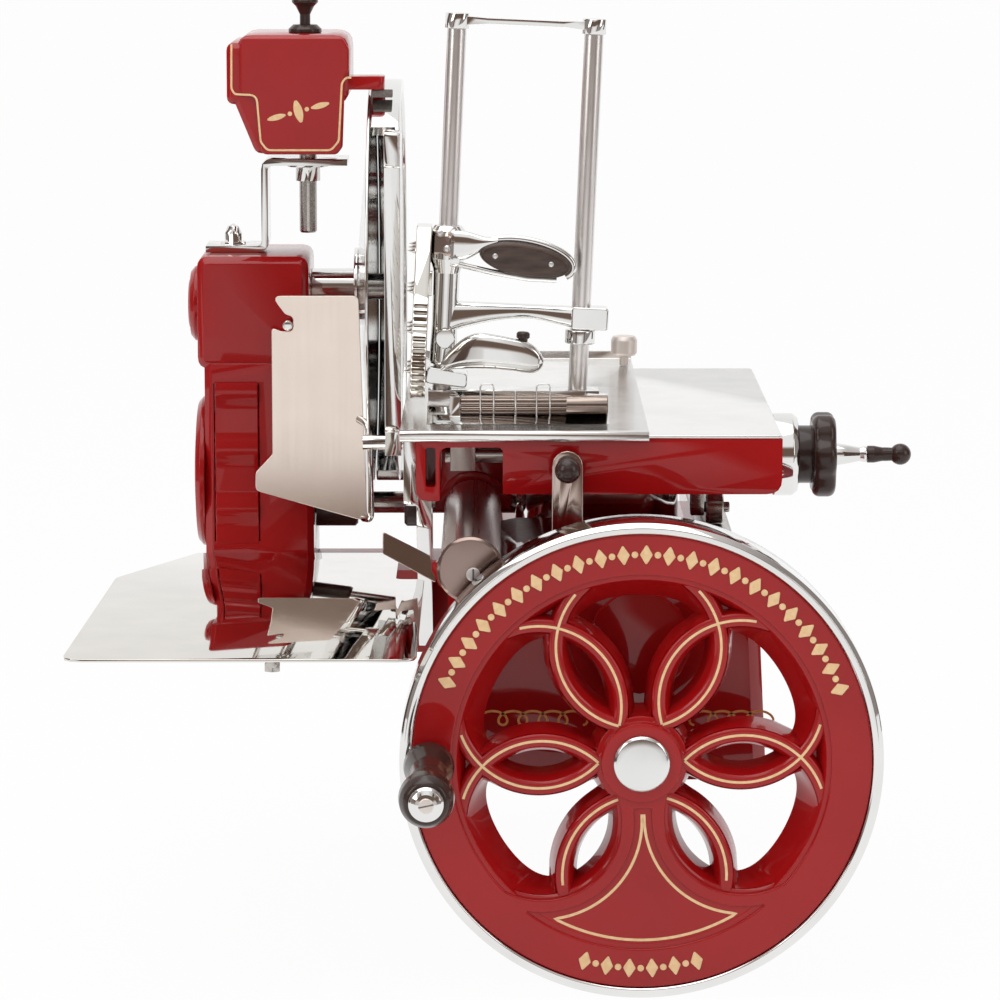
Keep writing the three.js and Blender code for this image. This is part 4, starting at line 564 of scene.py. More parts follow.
def blade_pieces():
    """Blade, hub cap, shaft with its tube and dished cover on the blade's axis, and the guard's hoop."""
    for node, material, soft, segments, closed, profile in (
            ("blade_disc", BLADE_STEEL, 0.2, 192, True,
             [(8.3, -11), (42, -11), (136, -5), (150, -0.6), (149, 0), (136, -0.4), (46, -5), (8.3, -5)]),
            ("blade_hub_cap", CHROME, 0.5, 96, False, [(0, -4.7), (36, -4.7), (36, -2.4), (34, -1), (0, -1)]),
            ("blade_shaft", STEEL, 0.3, 96, False,
             [(0, -129.5), (10, -129.5), (10, -11.3), (8, -11.3), (8, -5), (0, -5)]),
            ("blade_shaft_tube", CHROME, 0.6, 96, True,
             [(10.3, -68.7), (14, -68.7), (14, -35.3), (30, -35.3), (30, -32.3), (10.3, -32.3)]),
            ("blade_back_cover", CHROME, 0.8, 192, True,
             [(10.3, -32), (34, -32), (142, -22.8), (159, -22.8), (159, -20.6), (141, -20.6), (33, -29.8),
              (10.3, -29.8)])):
        body = lathe(shifted(profile, BLADE_X), "X", (BLADE_Y, BLADE_Z), soft, segments, closed)
        remake(node, body, material)
    start, end, steps = -78, 126, 110
    hoop = arc(BLADE_Y, BLADE_Z, 160, start, end, steps) + arc(BLADE_Y, BLADE_Z, 151.7, end, start, steps)
    remake("blade_guard", plate([hoop], "X", BLADE_X - 20.3, BLADE_X + 2, 1.4, 3), CHROME)


# Drive shafts, mostly hidden in the castings

def drive_pieces():
    for node in ("flywheel_shaft", "vertical_shaft", "cross_shaft"):
        rounded_copy(node, STEEL, 0.2)
    for node in ("upper_bevel_gear", "cross_bevel_gear"):
        rounded_copy(node, BRONZE, 0.2)


# Flywheel

WHEEL_TURN = 1.7  # the casting's flower stands turned by this many degrees
REACH, STRIPE = 80, 56.5  # six circles of radius STRIPE round the hub form the petals
RIM_INNER, RIM_FACE = 130, 158.3
BAND_EDGE, FAN_EDGE, FAN_STRIPE = 54.5, 63.5, 68.5  # radii of the fan's borders about the same centres
WEB_BACK = WHEEL_FACE + 28
RIB_TOP = WHEEL_FACE + 3


def ring_angle(i):
    return 30 + 60 * i + WHEEL_TURN


def ring_centre(i):
    turn = math.radians(ring_angle(i))
    return DRIVE_X + REACH * math.cos(turn), DRIVE_Z + REACH * math.sin(turn)


def ring_turn(radius, reach):
    """Angle at a petal circle's centre, from its outward direction, where it is at a reach from the hub."""
    return math.degrees(math.acos((reach ** 2 - REACH ** 2 - radius ** 2) / (2 * REACH * radius)))


def ring_arc(i, radius, side, near, far):
    """Part of a petal circle from one reach to another, on its left (1) or right (-1) seen from the hub."""
    start, end, steps = side * ring_turn(radius, near), side * ring_turn(radius, far), 40
    return arc(*ring_centre(i), radius, ring_angle(i) + start, ring_angle(i) + end, steps)


def polar(point):
    return math.degrees(math.atan2(point[1] - DRIVE_Z, point[0] - DRIVE_X)) % 360


def fan_outline(radius, near, far):
    """The sector between the petal circles 3 and 5 that hangs below the hub."""
    left = ring_arc(3, radius, 1, near, far)
    right = ring_arc(5, radius, -1, far, near)
    bottom = arc(DRIVE_X, DRIVE_Z, far, polar(left[-1]), polar(right[0]), 50)
    return left + bottom[1:-1] + right


def face_hole():
    """Inner border of the flat face: rim, then in along the fan, round the hub and out again."""
    left = ring_arc(3, BAND_EDGE, 1, 27, RIM_INNER)
    right = ring_arc(5, BAND_EDGE, -1, RIM_INNER, 27)
    rim = arc(DRIVE_X, DRIVE_Z, RIM_INNER, polar(right[0]) - 360, polar(left[-1]), 140)
    hub = arc(DRIVE_X, DRIVE_Z, 27, polar(left[0]), polar(right[-1]) - 360, 60)
    return rim[:-1] + left[::-1] + hub[1:-1] + right[::-1]


def ray_to_circle(start, way, centre, radius, inside):
    """How far a ray runs to a circle's edge, from inside it or from outside; a long way where it misses."""
    to_centre = Vector(centre) - start
    along = to_centre.dot(way)
    miss = to_centre.length_squared - along ** 2
    if miss > radius ** 2 or (along < 0 and not inside):
        return 1000
    half = math.sqrt(radius ** 2 - miss)
    return along + half if inside else along - half


def opening_wall(i):
    """The wall of the opening inside petal circle i, whose corners grow rounder towards the back."""
    centre, hub_reach, steps = (DRIVE_X, DRIVE_Z), 30.6, 240
    turn = math.radians(ring_angle(i))
    start = Vector((DRIVE_X + 77 * math.cos(turn), DRIVE_Z + 77 * math.sin(turn)))
    bm = bmesh.new()
    rows = []
    # depth, clearances from the neighbour circles and from its own, reach of the rim, softness of the corners
    for y, side, own, rim, soft in (
            (RIB_TOP + 1.6, 5.3, 5, 126, 0.1), (RIB_TOP + 5, 6, 6.6, 124, 0.8),
            (RIB_TOP + 9, 6.9, 8, 121.6, 1.8), (RIB_TOP + 14, 7.6, 9.4, 118.8, 3),
            (RIB_TOP + 20, 8.4, 10.8, 115.2, 4.2), (WEB_BACK - 1, 8.9, 11.4, 112.7, 5),
            (WEB_BACK, 8.2, 10.8, 113.4, 5), (WEB_BACK, 6, 8, 117, 0.1)):
        borders = ((ring_centre(i - 1), STRIPE + side, False), (ring_centre(i + 1), STRIPE + side, False),
                   (ring_centre(i), STRIPE - own, True), (centre, rim, True), (centre, hub_reach, False))
        row = []
        for a, b in circle(0, 0, 1, steps):
            way = Vector((a, b))
            reaches = [ray_to_circle(start, way, *border) for border in borders]
            nearest = min(reaches)
            reach = nearest - soft * math.log(sum(math.exp((nearest - one) / soft) for one in reaches))
            row.append(bm.verts.new(on_axis("Y", *(start + way * reach), y)))
        rows.append(row)
    for a, b in zip(rows, rows[1:]):
        join_rings(bm, a, b, steps)
    return finished(bm, "opening")


def petal_rings():
    """Six rounded rings that cross; every other one is a hair further back, so that no two share a plane."""
    section = [(8.5, WEB_BACK), (6.4, RIB_TOP + 8), (4.8, RIB_TOP + 1.2), (3.2, RIB_TOP), (-2.6, RIB_TOP),
               (-4.6, RIB_TOP + 1.6), (-7.6, RIB_TOP + 9), (-11, WEB_BACK)]
    rings = []
    for i in range(6):
        profile = [(STRIPE + out, y + 0.04 * (i % 2)) for out, y in section]
        rings.append(lathe(profile, "Y", ring_centre(i), 2.2, 128, closed=True, steps=4))
    return rings


def rim_pocket(i, centre):
    """The shallow block behind the rim between two petals."""
    middle = 60 * i + WHEEL_TURN
    outline = arc(*centre, 124, middle - 8, middle + 8, 12) + arc(*centre, 113, middle + 4, middle - 4, 6)
    return plate([outline], "Y", WEB_BACK - 14, WEB_BACK, 0.5)


def flywheel_pieces():
    centre = (DRIVE_X, DRIVE_Z)
    borders = [circle(*centre, RIM_FACE, 240), face_hole(), soften(fan_outline(FAN_EDGE, 33, 131), 1.5)]
    face = plate(borders, "Y", WHEEL_FACE, WHEEL_FACE + 8, 1.3, 3)
    rim = [(127, 1.6), (RIM_FACE, 1.6), (RIM_FACE, 42), (149.6, 42), (149.6, 29), (113, 29)]
    rim = lathe(shifted(rim, WHEEL_FACE), "Y", centre, 1.2, 256, closed=True, steps=4)
    hub = [(9.3, -2), (27.5, -2), (27.9, 3.4), (31.6, 4.2), (33, 28), (25.5, 46), (9.3, 46)]
    hub = lathe(shifted(hub, WHEEL_FACE), "Y", centre, 0.8, closed=True)
    fan_floor = plate([fan_outline(BAND_EDGE + 3, 29, 134)], "Y", WHEEL_FACE + 1.7, WHEEL_FACE + 16, 0.4)
    pockets = [rim_pocket(i, centre) for i in range(4)]
    walls = [opening_wall(i) for i in (0, 1, 2, 3, 5)]
    handle_x = DRIVE_X - 145.5
    boss = rod("Y", (handle_x, DRIVE_Z), 11, WHEEL_FACE + 1, WHEEL_FACE + 24)
    remake("flywheel_casting", merged(face, rim, hub, fan_floor, boss, *petal_rings(), *pockets, *walls), RED)
    band = shifted([(158.6, -1), (159.6, -2), (163, -2), (166, 1.5), (166, 42), (158.6, 42)], WHEEL_FACE)
    remake("flywheel_rim_band", lathe(band, "Y", centre, 0.9, 256, closed=True), CHROME)
    cap = shifted([(0, -7.3), (13, -7.1), (17.6, -6.5), (19.5, -4.9), (19.5, -2.3), (0, -2.3)], WHEEL_FACE)
    remake("flywheel_hub_cap", lathe(cap, "Y", centre, 1.6, steps=5), HUB_METAL)
    flywheel_paint()
    handle_pieces((handle_x, DRIVE_Z))


def ribbon(points, width, y, closed=False):
    """A flat painted line along points (x, z), facing the user."""
    bm = bmesh.new()
    rows = []
    count = len(points)
    for i, point in enumerate(points):
        last = Vector(points[i - 1] if closed or i else points[0])
        ahead = Vector(points[(i + 1) % count] if closed or i < count - 1 else points[-1])
        along = (ahead - last).normalized()
        out = Vector((-along.y, along.x)) * width / 2
        pair = (Vector(point) - out, Vector(point) + out)
        rows.append([bm.verts.new(on_axis("Y", *end, y)) for end in pair])
    for i in range(count if closed else count - 1):
        a, b = rows[i], rows[(i + 1) % count]
        bm.faces.new((a[0], a[1], b[1], b[0]))
    return as_mesh(bm, "ribbon")


def on_rim(shape, degrees):
    """An outline in (out, across) millimetres, laid round the flywheel's rim at an angle."""
    turn, middle = math.radians(degrees), 144.5
    points = []
    for out, across in shape:
        far = middle + out
        angle = turn + across / far
        points.append((DRIVE_X + far * math.cos(angle), DRIVE_Z + far * math.sin(angle)))
    return points


def flywheel_paint():
    """Cream pinstripes on the petals and the fan, and a raised cream border of lozenges and beads."""
    near, far, low_far = 29.6, 125, 102
    height = RIB_TOP - 0.12
    stripes = []
    for i, side, end in ((0, 1, far), (0, -1, far), (1, 1, far), (1, -1, far), (2, 1, far), (2, -1, far),
                         (3, -1, far), (5, 1, far), (4, 1, low_far), (4, -1, low_far)):
        stripes.append(ribbon(ring_arc(i, STRIPE, side, near, end), 1.8, height - 0.05 * side))
    stripes.append(ribbon(fan_outline(FAN_STRIPE, 37, 125), 1.9, WHEEL_FACE + 1.55, closed=True))
    add("flywheel_stripes", merged(*stripes), CREAM, "flywheel_casting")
    lozenge = soften([(-7.4, 0), (0, -4.4), (7.4, 0), (0, 4.4)], 1.2)
    bead = circle(0, 0, 2.3, 24)
    pitch = 3.1
    marks = []
    for middle, count in ((89, 45), (270, 11)):
        for k in range(count):
            shape = on_rim(bead if k % 2 else lozenge, middle + (k - (count - 1) / 2) * pitch)
            marks.append(plate([shape], "Y", WHEEL_FACE - 1.3, WHEEL_FACE + 0.5, 0.6, 2))
    add("flywheel_rim_marks", merged(*marks), CREAM, "flywheel_casting")


def handle_pieces(axis):
    """The bolt with its round head and slotted screw, and the waisted grip on it; the screw's slot is a dark
    strip of painted shade.
    """
    x, z = axis
    back, length = WHEEL_FACE - 4, 126
    front = back - length
    head = [(0, -5.6), (4, -5.5), (7.4, -4.8), (10.2, -3.2), (11.6, -1.4), (12, -0.3), (5, -0.3)]
    foot = [(5, back + SEAT), (10, back + SEAT), (10, WHEEL_FACE - SEAT), (5, WHEEL_FACE - SEAT),
            (5, WHEEL_FACE + 30), (0, WHEEL_FACE + 30)]
    remake("handle_bolt", lathe(shifted(head, front) + foot, "Y", axis, 0.7), CHROME)
    screw = shifted([(0, -6), (4.4, -5.9), (5.2, -5.2), (5.2, -4), (0, -4)], front)
    add("handle_screw", lathe(screw, "Y", axis, 0.3, 48), KNOB_SATIN, "handle_bolt")
    # The slot is painted shade: a thin dark strip laid over the screw's head, not a cut
    slot = turned(rectangle(x - 5, x + 5, z - 0.5, z + 0.5), axis, 12)
    add("handle_bolt_slot_painted_shade", plate([slot], "Y", front - 6.06, front - 4.2, 0.05), DARK_STEEL_AND_PAINTED_SLOT_SHADE, "handle_bolt")
    # radius, and share of the length from the front
    shares = ((5.3, 0), (14, 0), (18, 0.07), (18.8, 0.15), (15.4, 0.34), (11.5, 0.58), (12.5, 0.74),
              (16.6, 0.86), (17.6, 0.93), (14.6, 1), (5.3, 1))
    grip = [(radius, front + share * length) for radius, share in shares]
    remake("handle_grip", lathe(grip, "Y", axis, 9, closed=True, steps=6), DARK_PLASTIC)


# Gauge, deflector and sharpener

def sharpener_paint():
    """A front cover with a gold pinstripe round it, and a small gold ornament."""
    front = 32.6
    cover = soften([(-275.4, 504.3), (-198.2, 504.3), (-193.2, 496.1), (-193.3, 479.6), (-196.4, 474.8),
                    (-198.4, 422.3), (-202.7, 416.5), (-259.6, 416.5), (-263.8, 460.3), (-275.8, 460.9)], 5)
    add("sharpener_cover", plate([cover], "Y", front, 37, 1.6, 3), RED, "sharpener_housing")
    line = soften([(-281.6, 499.4), (-281.9, 466.0), (-279.7, 462.0), (-262.9, 461.2), (-260.1, 426.3),
                   (-255.3, 419.9), (-207.1, 419.9), (-201.3, 426.7), (-198.8, 470.4), (-195.7, 474.4),
                   (-191.7, 474.4)], 6, closed=False)
    cover_left = cover[-1][0]
    beside = [point for point in line if point[0] < cover_left]
    across = [point for point in line if point[0] >= cover_left - 4]
    stripes = [ribbon(across, 1.5, front - 0.15), ribbon(beside, 1.5, 34.8)]
    x, z, tilt = -231.6, 449, 15
    leaf = arc(0, -14, 16.2, 60, 120, 14)[1:-1] + arc(0, 14, 16.2, 240, 300, 14)[1:-1]
    shapes = [[(b * 1.5, a * 1.2) for a, b in leaf], circle(-6.6, 0, 1.7, 20), circle(6.6, 0, 1.7, 20)]
    shapes += [[(side * 17 + a, b) for a, b in leaf] for side in (-1, 1)]
    for shape in shapes:
        placed = turned([(x + a, z + b) for a, b in shape], (x, z), tilt)
        stripes.append(plate([placed], "Y", front - 0.18, front + 0.4, 0.05))
    add("sharpener_stripes", merged(*stripes), CREAM, "sharpener_housing")


def sharpener_pieces():
    """The housing with its paint, the upright pivot shaft, the push knob in its ring, and the stone."""
    top, knob_axis = 506, (PIVOT_X, PIVOT_Y - 34)
    rounded_copy("sharpener_housing", RED, 1.6, 40)
    sharpener_paint()
    ring = lathe(shifted([(4.8, 0), (12.6, 0), (12.6, 3), (9, 6.3), (4.8, 6.3)], top), "Z", knob_axis, 0.8,
                 closed=True)
    add("sharpener_knob_ring", ring, DARK_PLASTIC, "sharpener_housing")
    shaft = shifted([(0, 0), (5.7, 0), (6.7, 1.5), (6.7, 141), (0, 141)], 351)
    remake("sharpener_shaft", lathe(shaft, "Z", (PIVOT_X, PIVOT_Y), 0.4), STEEL)
    knob = shifted([(0, -28), (4, -28), (4, 8), (7, 14), (10, 17), (10, 19), (8, 20), (0, 20)], top + 6)
    remake("sharpener_knob", lathe(knob, "Z", knob_axis, 1.2), DARK_PLASTIC)
    rounded_copy("sharpening_stone", STONE, 0.6)


def deflector_pieces():
    """A satin sheet hooked on its pin, with a wing at the back and a chrome wire handle at its right edge."""
    front, back, right = 30.25, 31.75, -187
    face = soften([(right, 310), (-253, 310), (-242.5, 296), (-236.5, 294), (-236.5, 283), (-245.5, 283),
                   (-253, 286), (-253, 189), (-266, 175), (-266, 161), (-181, 137)], 5)
    sheet = plate([face], "Y", front, back, 0.4)
    side = soften([(back - 0.8, 141), (back + 30, 165), (back + 30, 258), (back - 0.8, 302)], 8)
    wing = plate([side], "X", right - 1.5, right, 0.3)
    remake("slice_deflector", merged(sheet, wing), SATIN)
    handle = soften([(right, front + 0.6, 216), (-179.6, front - 10, 213), (-178.4, front - 10, 141),
                     (-183.5, front + 0.6, 140)], 7, 6, False)
    add("deflector_handle", wire(handle, 3, sides=6), CHROME, "slice_deflector")


def left_side_pieces():
    rounded_copy("gauge_plate", CHROME, 0.8)
    knob = shifted([(0, 0), (8, 0), (10, 2), (10, 10), (4, 10), (4, 21.3), (0, 21.3)], -152.3)
    remake("thickness_knob", lathe(knob, "X", (12, 147), 0.6), DARK_PLASTIC)
    deflector_pieces()
    sharpener_pieces()


# Carriage and feed

def carriage_pieces():
    rounded_copy("carriage_casting", RED, 1.4, 40)
    rounded_copy("carriage_top_plate", TABLE, 0.4)
    rounded_copy("roller_bracket", STEEL, 0.8)
    roller = shifted([(4.3, 0), (11, 0), (12, 1), (12, 12), (11, 13), (4.3, 13)], 72.2)
    remake("carriage_roller", lathe(roller, "X", (-60, 162.6), 0.3, closed=True), STEEL)


def feed_pieces():
    """On the feed screw's axis: flange, lobed knob with its collar, tapered crank and ball-ended grip."""
    axis = (FEED_Y, FEED_Z)
    flange_x = CARRIAGE_RIGHT + SEAT
    collar_x = flange_x + 18 + SEAT
    knob_x = collar_x + 10
    knob_end = knob_x + 17
    crank_x = knob_end + SEAT
    grip_x = crank_x + 23 + SEAT
    flange = shifted([(6.3, 0), (30, 0), (30, 14), (27, 18), (6.3, 18)], flange_x)
    remake("feed_flange", lathe(flange, "X", axis, 1.6, closed=True), CHROME)
    lobes = []
    for k in range(180):
        turn = 2 * math.pi * k / 180
        reach = 31.6 - 3.2 * (0.5 - 0.5 * math.cos(6 * turn)) ** 2
        lobes.append((FEED_Y + reach * math.cos(turn), FEED_Z + reach * math.sin(turn)))
    knob = plate([lobes], "X", knob_x, knob_end, 5.5, 6)
    collar = rod("X", axis, 21, collar_x, knob_x + 1, 0.6)
    remake("feed_knob", merged(knob, collar), DARK_PLASTIC)
    neck_x = collar_x - SEAT
    screw = [(0, -120), (6, -120), (6, neck_x), (4.5, neck_x), (4.5, knob_end), (0, knob_end)]
    remake("feed_screw", lathe(screw, "X", axis, 0.3), STEEL)
    crank = shifted([(0, 0), (8.2, 0), (7.2, 7), (6.8, 9), (5, 18), (5.8, 21), (5.8, 23), (2, 23), (2, 47.3),
                     (0, 47.3)], crank_x)
    remake("feed_crank", lathe(crank, "X", axis, 0.8), CHROME)
    ball_radius = 7.8
    ball = shifted(arc(0, 0, ball_radius, -52, 90, 12), 32 - ball_radius)
    grip = shifted([(2.3, 0), (6.2, 0), (6.2, 5), (5, 11), (5, 14), *ball], grip_x)
    remake("feed_grip", lathe(grip, "X", axis, 0.8), DARK_PLASTIC)


# Clamp table, clamp frame and press

def press_body_piece():
    """Sleeve on the left post with a screwed head, and the crowned arm that runs to the right post."""
    bore, post = 7.4, (-POST_SPACING, 0)
    sleeve = lathe([(bore, 31), (8.6, 31), (9.9, 33), (9.1, 60), (9.5, 97), (12.3, 107), (12.3, 127),
                    (9.6, 131), (bore, 131)], "Z", post, 1.6, closed=True)
    lower = ((-97, 53), (-86, 57.4), (-60, 64.2), (-37, 66.5), (-12, 62.5), (-4, 60.8))
    xs = [-97 + 93 * k / 30 for k in range(31)]
    arm = swept([(x, 0, bore, between(lower, x, 1), 76.6) for x in xs], power=3)
    shear, level = 0.13, 68
    arm.transform(Matrix(((1, 0, 0, 0), (0, 1, shear, -shear * level * MM), (0, 0, 1, 0), (0, 0, 0, 1))))
    block = plate([soften(rectangle(-7, 19.5, 60.6, 76.8), 2.5)], "Y", -9, 9, 1.2, 3)
    collar = lathe([(bore, 50), (10.8, 50), (10.8, 60), (bore, 60)], "Z", (0, 0), 1, closed=True)
    disc = lathe([(0, -14.6), (6.4, -14.6), (7.2, -13.8), (7.2, -8), (0, -8)], "Y", (-96.5, 50.5), 0.4)
    ear = plate([soften(rectangle(-95.5, -80.5, 114, 127), 4)], "Y", -17, -12, 0.8)
    rest = plate([soften([(-110, 18), (-79.5, 15.5), (-79.5, 26), (-108, 30)], 3)], "Y", -13.2, 12, 1)
    remake("press_body", leaning(merged(sleeve, arm, block, collar, disc, ear, rest)), CHROME)
    head = [(bore, 110), (12.9, 110), (13.4, 112), (13.4, 124), (12.6, 127), (bore, 127)]
    head = lathe(head, "Z", post, 0.3, 8, closed=True)
    add("press_head", leaning(head), WARM_STEEL, "press_body")
    screws = [lathe([(0, -14.8), (1.6, -14.6), (2.6, -13.6), (2.6, -11), (0, -11)], "Y", place, 0.4, 32)
              for place in ((-103.4, 126), (-93.2, 126.4), (-98, 115))]
    add("press_head_screws", leaning(merged(*screws)), HUB_SATIN, "press_body")


def press_plate_piece():
    """The plate that holds the meat down: fine teeth on both edges and short spikes on its inner face."""
    left, right, bottom, top = -POST_SPACING - 22.5, -POST_SPACING - 11.5, 8, 130
    height, teeth, toothed_to, depth = top - bottom, 24, 78, 1.8
    edge = [(24, bottom)]
    for k in range(teeth):
        z = bottom + 6 + k * (height - 14) / teeth
        width = 52 * math.sin(math.radians(55 + 100 * k / teeth))
        edge.append((width, z))
        if z < toothed_to:
            edge += [(width + depth, z + depth), (width, z + 2 * depth)]
    edge.append((16, top))
    leaf = plate([edge + [(-y, z) for y, z in reversed(edge)]], "X", left, right, 1, 2)
    mount = plate([soften(rectangle(-9, 9, 80, 98), 2)], "X", right - 1, right + 1.4, 0.3)
    spike = shifted([(0, -6), (2.4, 0.5), (0, 0.5)], left)
    rows = [bottom + 20 + k * (height - 36) / 3 for k in range(4)]
    spikes = [lathe(spike, "X", (y, z), 0, 16) for z in rows for y in (-26, 0, 26)]
    remake("press_plate", leaning(merged(leaf, mount, *spikes)), SHEET)


def press_lever_pieces():
    """An oval dark grip between a chrome back that starts in a broad neck and a thin bar below."""
    middle, tilt, y = (-42, 110.6), -8, -22.5

    def oval(along, across, start=0, end=360):
        """Part of an ellipse round the grip's middle, tilted as the grip is."""
        level = [(middle[0] + along * a, middle[1] + across * b) for a, b in arc(0, 0, 1, start, end, 64)]
        return turned(level, middle, tilt)

    remake("press_grip", leaning(plate([oval(33, 12.2)[:-1]], "Y", -29, -16, 4, 6)), BROWN_PLASTIC)
    rivets = [lathe([(0, -29.7), (1.5, -29.5), (2.1, -28.8), (2.1, -27), (0, -27)], "Y", spot, 0.3, 32)
              for spot in ((-63.4, 112.8), (-23.4, 108.6))]
    add("press_grip_rivets", leaning(merged(*rivets)), HUB_SATIN, "press_grip")
    rows = ((-93, 108, 129.5), (-84, 109, 129), (-78, 112, 127.6), (-70, 117.5, 125.8), (-62, 121.6, 125.4))
    xs = [-93 + 31 * k / 24 for k in range(25)]
    neck = swept([(x, y, 4.6, between(rows, x, 1), between(rows, x, 2)) for x in xs])
    back = wire([(x, y, z) for x, z in oval(34.6, 14, 168, -28)], 2.7, sides=5)
    line = soften([(-92, 109), (-90, 105.5), (-66, 101), (-40, 97.4), (-19, 97.2)], 12, 6, False)
    bar = wire([(x, y, z) for x, z in line], 2.2, sides=4)
    root = swept([(-95, y, 3, 103.5, 129), (-92, y, 4.2, 103, 129.5), (-88.5, y, 3, 104, 129)])
    pin = rod("Y", (-86, 121), 3, -19, -10)
    remake("press_lever", leaning(merged(neck, back, bar, root, pin)), CHROME)


def paddle_piece():
    """A leaf-shaped lever with a broad round end, and a small button on its back."""
    left, right, steps = -99, -25.2, 60
    low = ((left, 28.5), (-90, 30.3), (-78, 31.6), (-62, 32), (-48, 31.3), (-36, 29.9), (-30, 31),
           (-26.6, 34.5), (right, 39))
    high = ((left, 33.5), (-96, 39.8), (-90, 46.6), (-84, 52.4), (-78, 55.8), (-72, 57.3), (-62, 56.7),
            (-48, 54.6), (-38, 52.4), (-32, 49), (-28, 44.5), (right, 39.6))
    sections = []
    for k in range(steps + 1):
        x = left + 73.8 * (1 - (1 - k / steps) ** 1.5)
        depth = min(6, 1 + 0.9 * math.sqrt(x - left), 1 + 2.6 * math.sqrt(max(0, right - x)))
        bow = 4 * math.sin(math.pi * (x - left) / 74)
        sections.append((x, -23 - bow, depth, between(low, x, 1), between(high, x, 1)))
    leaf = swept(sections, 48, 2.6)
    remake("lock_paddle", leaning(merged(leaf, rod("Y", (-92, 33), 3.5, -19, -8))), CHROME)
    button = [(0, 51), (3.4, 51), (3.4, 54), (4.8, 55), (4.8, 58), (3.6, 59.2), (0, 59.6)]
    button = lathe(button, "Z", (-41, -23), 0.8, 32)
    add("paddle_button", leaning(button), DARK_PLASTIC, "lock_paddle")


def clamp_bar_piece():
    """The fluted steel bar in front of the posts, with two wire loops and a pin on it."""
    foot = (CLAMP_X, CLAMP_Y, CLAMP_TOP + SEAT)
    left, right, y, z = -POST_SPACING + 14.5, 22, -30, 9
    flutes = []
    for k in range(96):
        turn = 2 * math.pi * k / 96
        reach = 7 - 1.1 * (0.5 + 0.5 * math.cos(12 * turn)) ** 3
        flutes.append((y + reach * math.cos(turn), z + reach * math.sin(turn)))
    bar = plate([flutes], "X", left, right - 29, 0.5)
    sleeve = rod("X", (y, z), 7, right - 30, right, 0.8)
    for mesh in (bar, sleeve):
        mesh.transform(Matrix.Translation(Vector(foot) * MM))
    remake("clamp_bar", merged(bar, sleeve), BAR_STEEL)
    loops = []
    for x in (-69, -29):
        ring = soften(rectangle(x, x + 9.5, z - 8.6, z + 16), 2.5)
        loops.append(wire([(foot[0] + a, foot[1] + y - 8, foot[2] + b) for a, b in ring], 0.6, closed=True))
    pin = wire([(foot[0] - 44, foot[1] + y - 7.6, foot[2] + b) for b in (2, 20)], 0.8)
    add("clamp_bar_loops", merged(*loops, pin), CHROME, "clamp_bar")


def lock_ball_piece():
    """The dark ball of the carriage lock and its neck."""
    neck, back = -250.3, -235
    ball = arc(0, neck - 10.28, 9, -90, 62, 20)
    profile = [*ball, (4.2, neck), (3.4, neck), (3.4, back), (0, back)]
    remake("lock_ball", lathe(profile, "Y", (-33, 219), 0.3), DARK_PLASTIC)


def clamp_pieces():
    rounded_copy("clamp_table", TABLE, 0.5)
    knob = [(0, 0), (3.5, 0), (3.5, 7), (8.6, 8), (10.2, 10), (10.2, 20), (8.6, 23), (0, 23)]
    remake("table_knob", lathe(shifted(knob, CLAMP_TOP + SEAT), "Z", (17, 140), 0.8), KNOB_SATIN)
    for node in ("clamp_foot", "clamp_crossbar"):
        rounded_copy(node, CHROME, 0.6)
    for node, x in (("clamp_post_right", 0), ("clamp_post_left", -POST_SPACING)):
        remake(node, leaning(rod("Z", (x, 0), 6.85, 5, 271)), POST_STEEL)
    press_body_piece()
    press_plate_piece()
    press_lever_pieces()
    paddle_piece()
    clamp_bar_piece()
    lock_ball_piece()


frame_pieces()
blade_pieces()
drive_pieces()
flywheel_pieces()
base_trim()
left_side_pieces()
carriage_pieces()
feed_pieces()
clamp_pieces()


# Floor, light and camera

def stage_floor():
    """A pale floor that curves up into a backdrop: white in view and in reflections, with a soft shadow."""
    low, curve, back = -0.1395, 3, 6
    profile = [(-1.3, low)] + arc(back, low + curve, curve, -90, 0, 12) + [(back + curve, 12)]
    bm = bmesh.new()
    rows = [[bm.verts.new((x, y, z)) for x in (-16, 16)] for y, z in profile]
    for a, b in zip(rows, rows[1:]):
        bm.faces.new((a[0], a[1], b[1], b[0]))
    mesh = as_mesh(bm, "floor")
    material, nodes, links, shader = new_material("pale_floor")
    shader.inputs["Base Color"].default_value = (0.92, 0.92, 0.92, 1)
    shader.inputs["Roughness"].default_value = 0.8
    shader.inputs["Specular IOR Level"].default_value = 0
    glow = nodes.new("ShaderNodeEmission")
    mix = nodes.new("ShaderNodeMixShader")
    rays = nodes.new("ShaderNodeLightPath")
    either = nodes.new("ShaderNodeMath")
    either.operation = "MAXIMUM"
    share = nodes.new("ShaderNodeMath")
    share.operation = "MULTIPLY"
    share.inputs[1].default_value = 0.96
    links.new(rays.outputs["Is Camera Ray"], either.inputs[0])
    links.new(rays.outputs["Is Glossy Ray"], either.inputs[1])
    links.new(either.outputs["Value"], share.inputs[0])
    links.new(share.outputs["Value"], mix.inputs["Fac"])
    links.new(shader.outputs["BSDF"], mix.inputs[1])
    links.new(glow.outputs["Emission"], mix.inputs[2])
    links.new(mix.outputs["Shader"], nodes["Material Output"].inputs["Surface"])
    mesh.materials.append(material)
    mesh.polygons.foreach_set("use_smooth", [True] * len(mesh.polygons))
    floor = in_scene("floor", mesh)


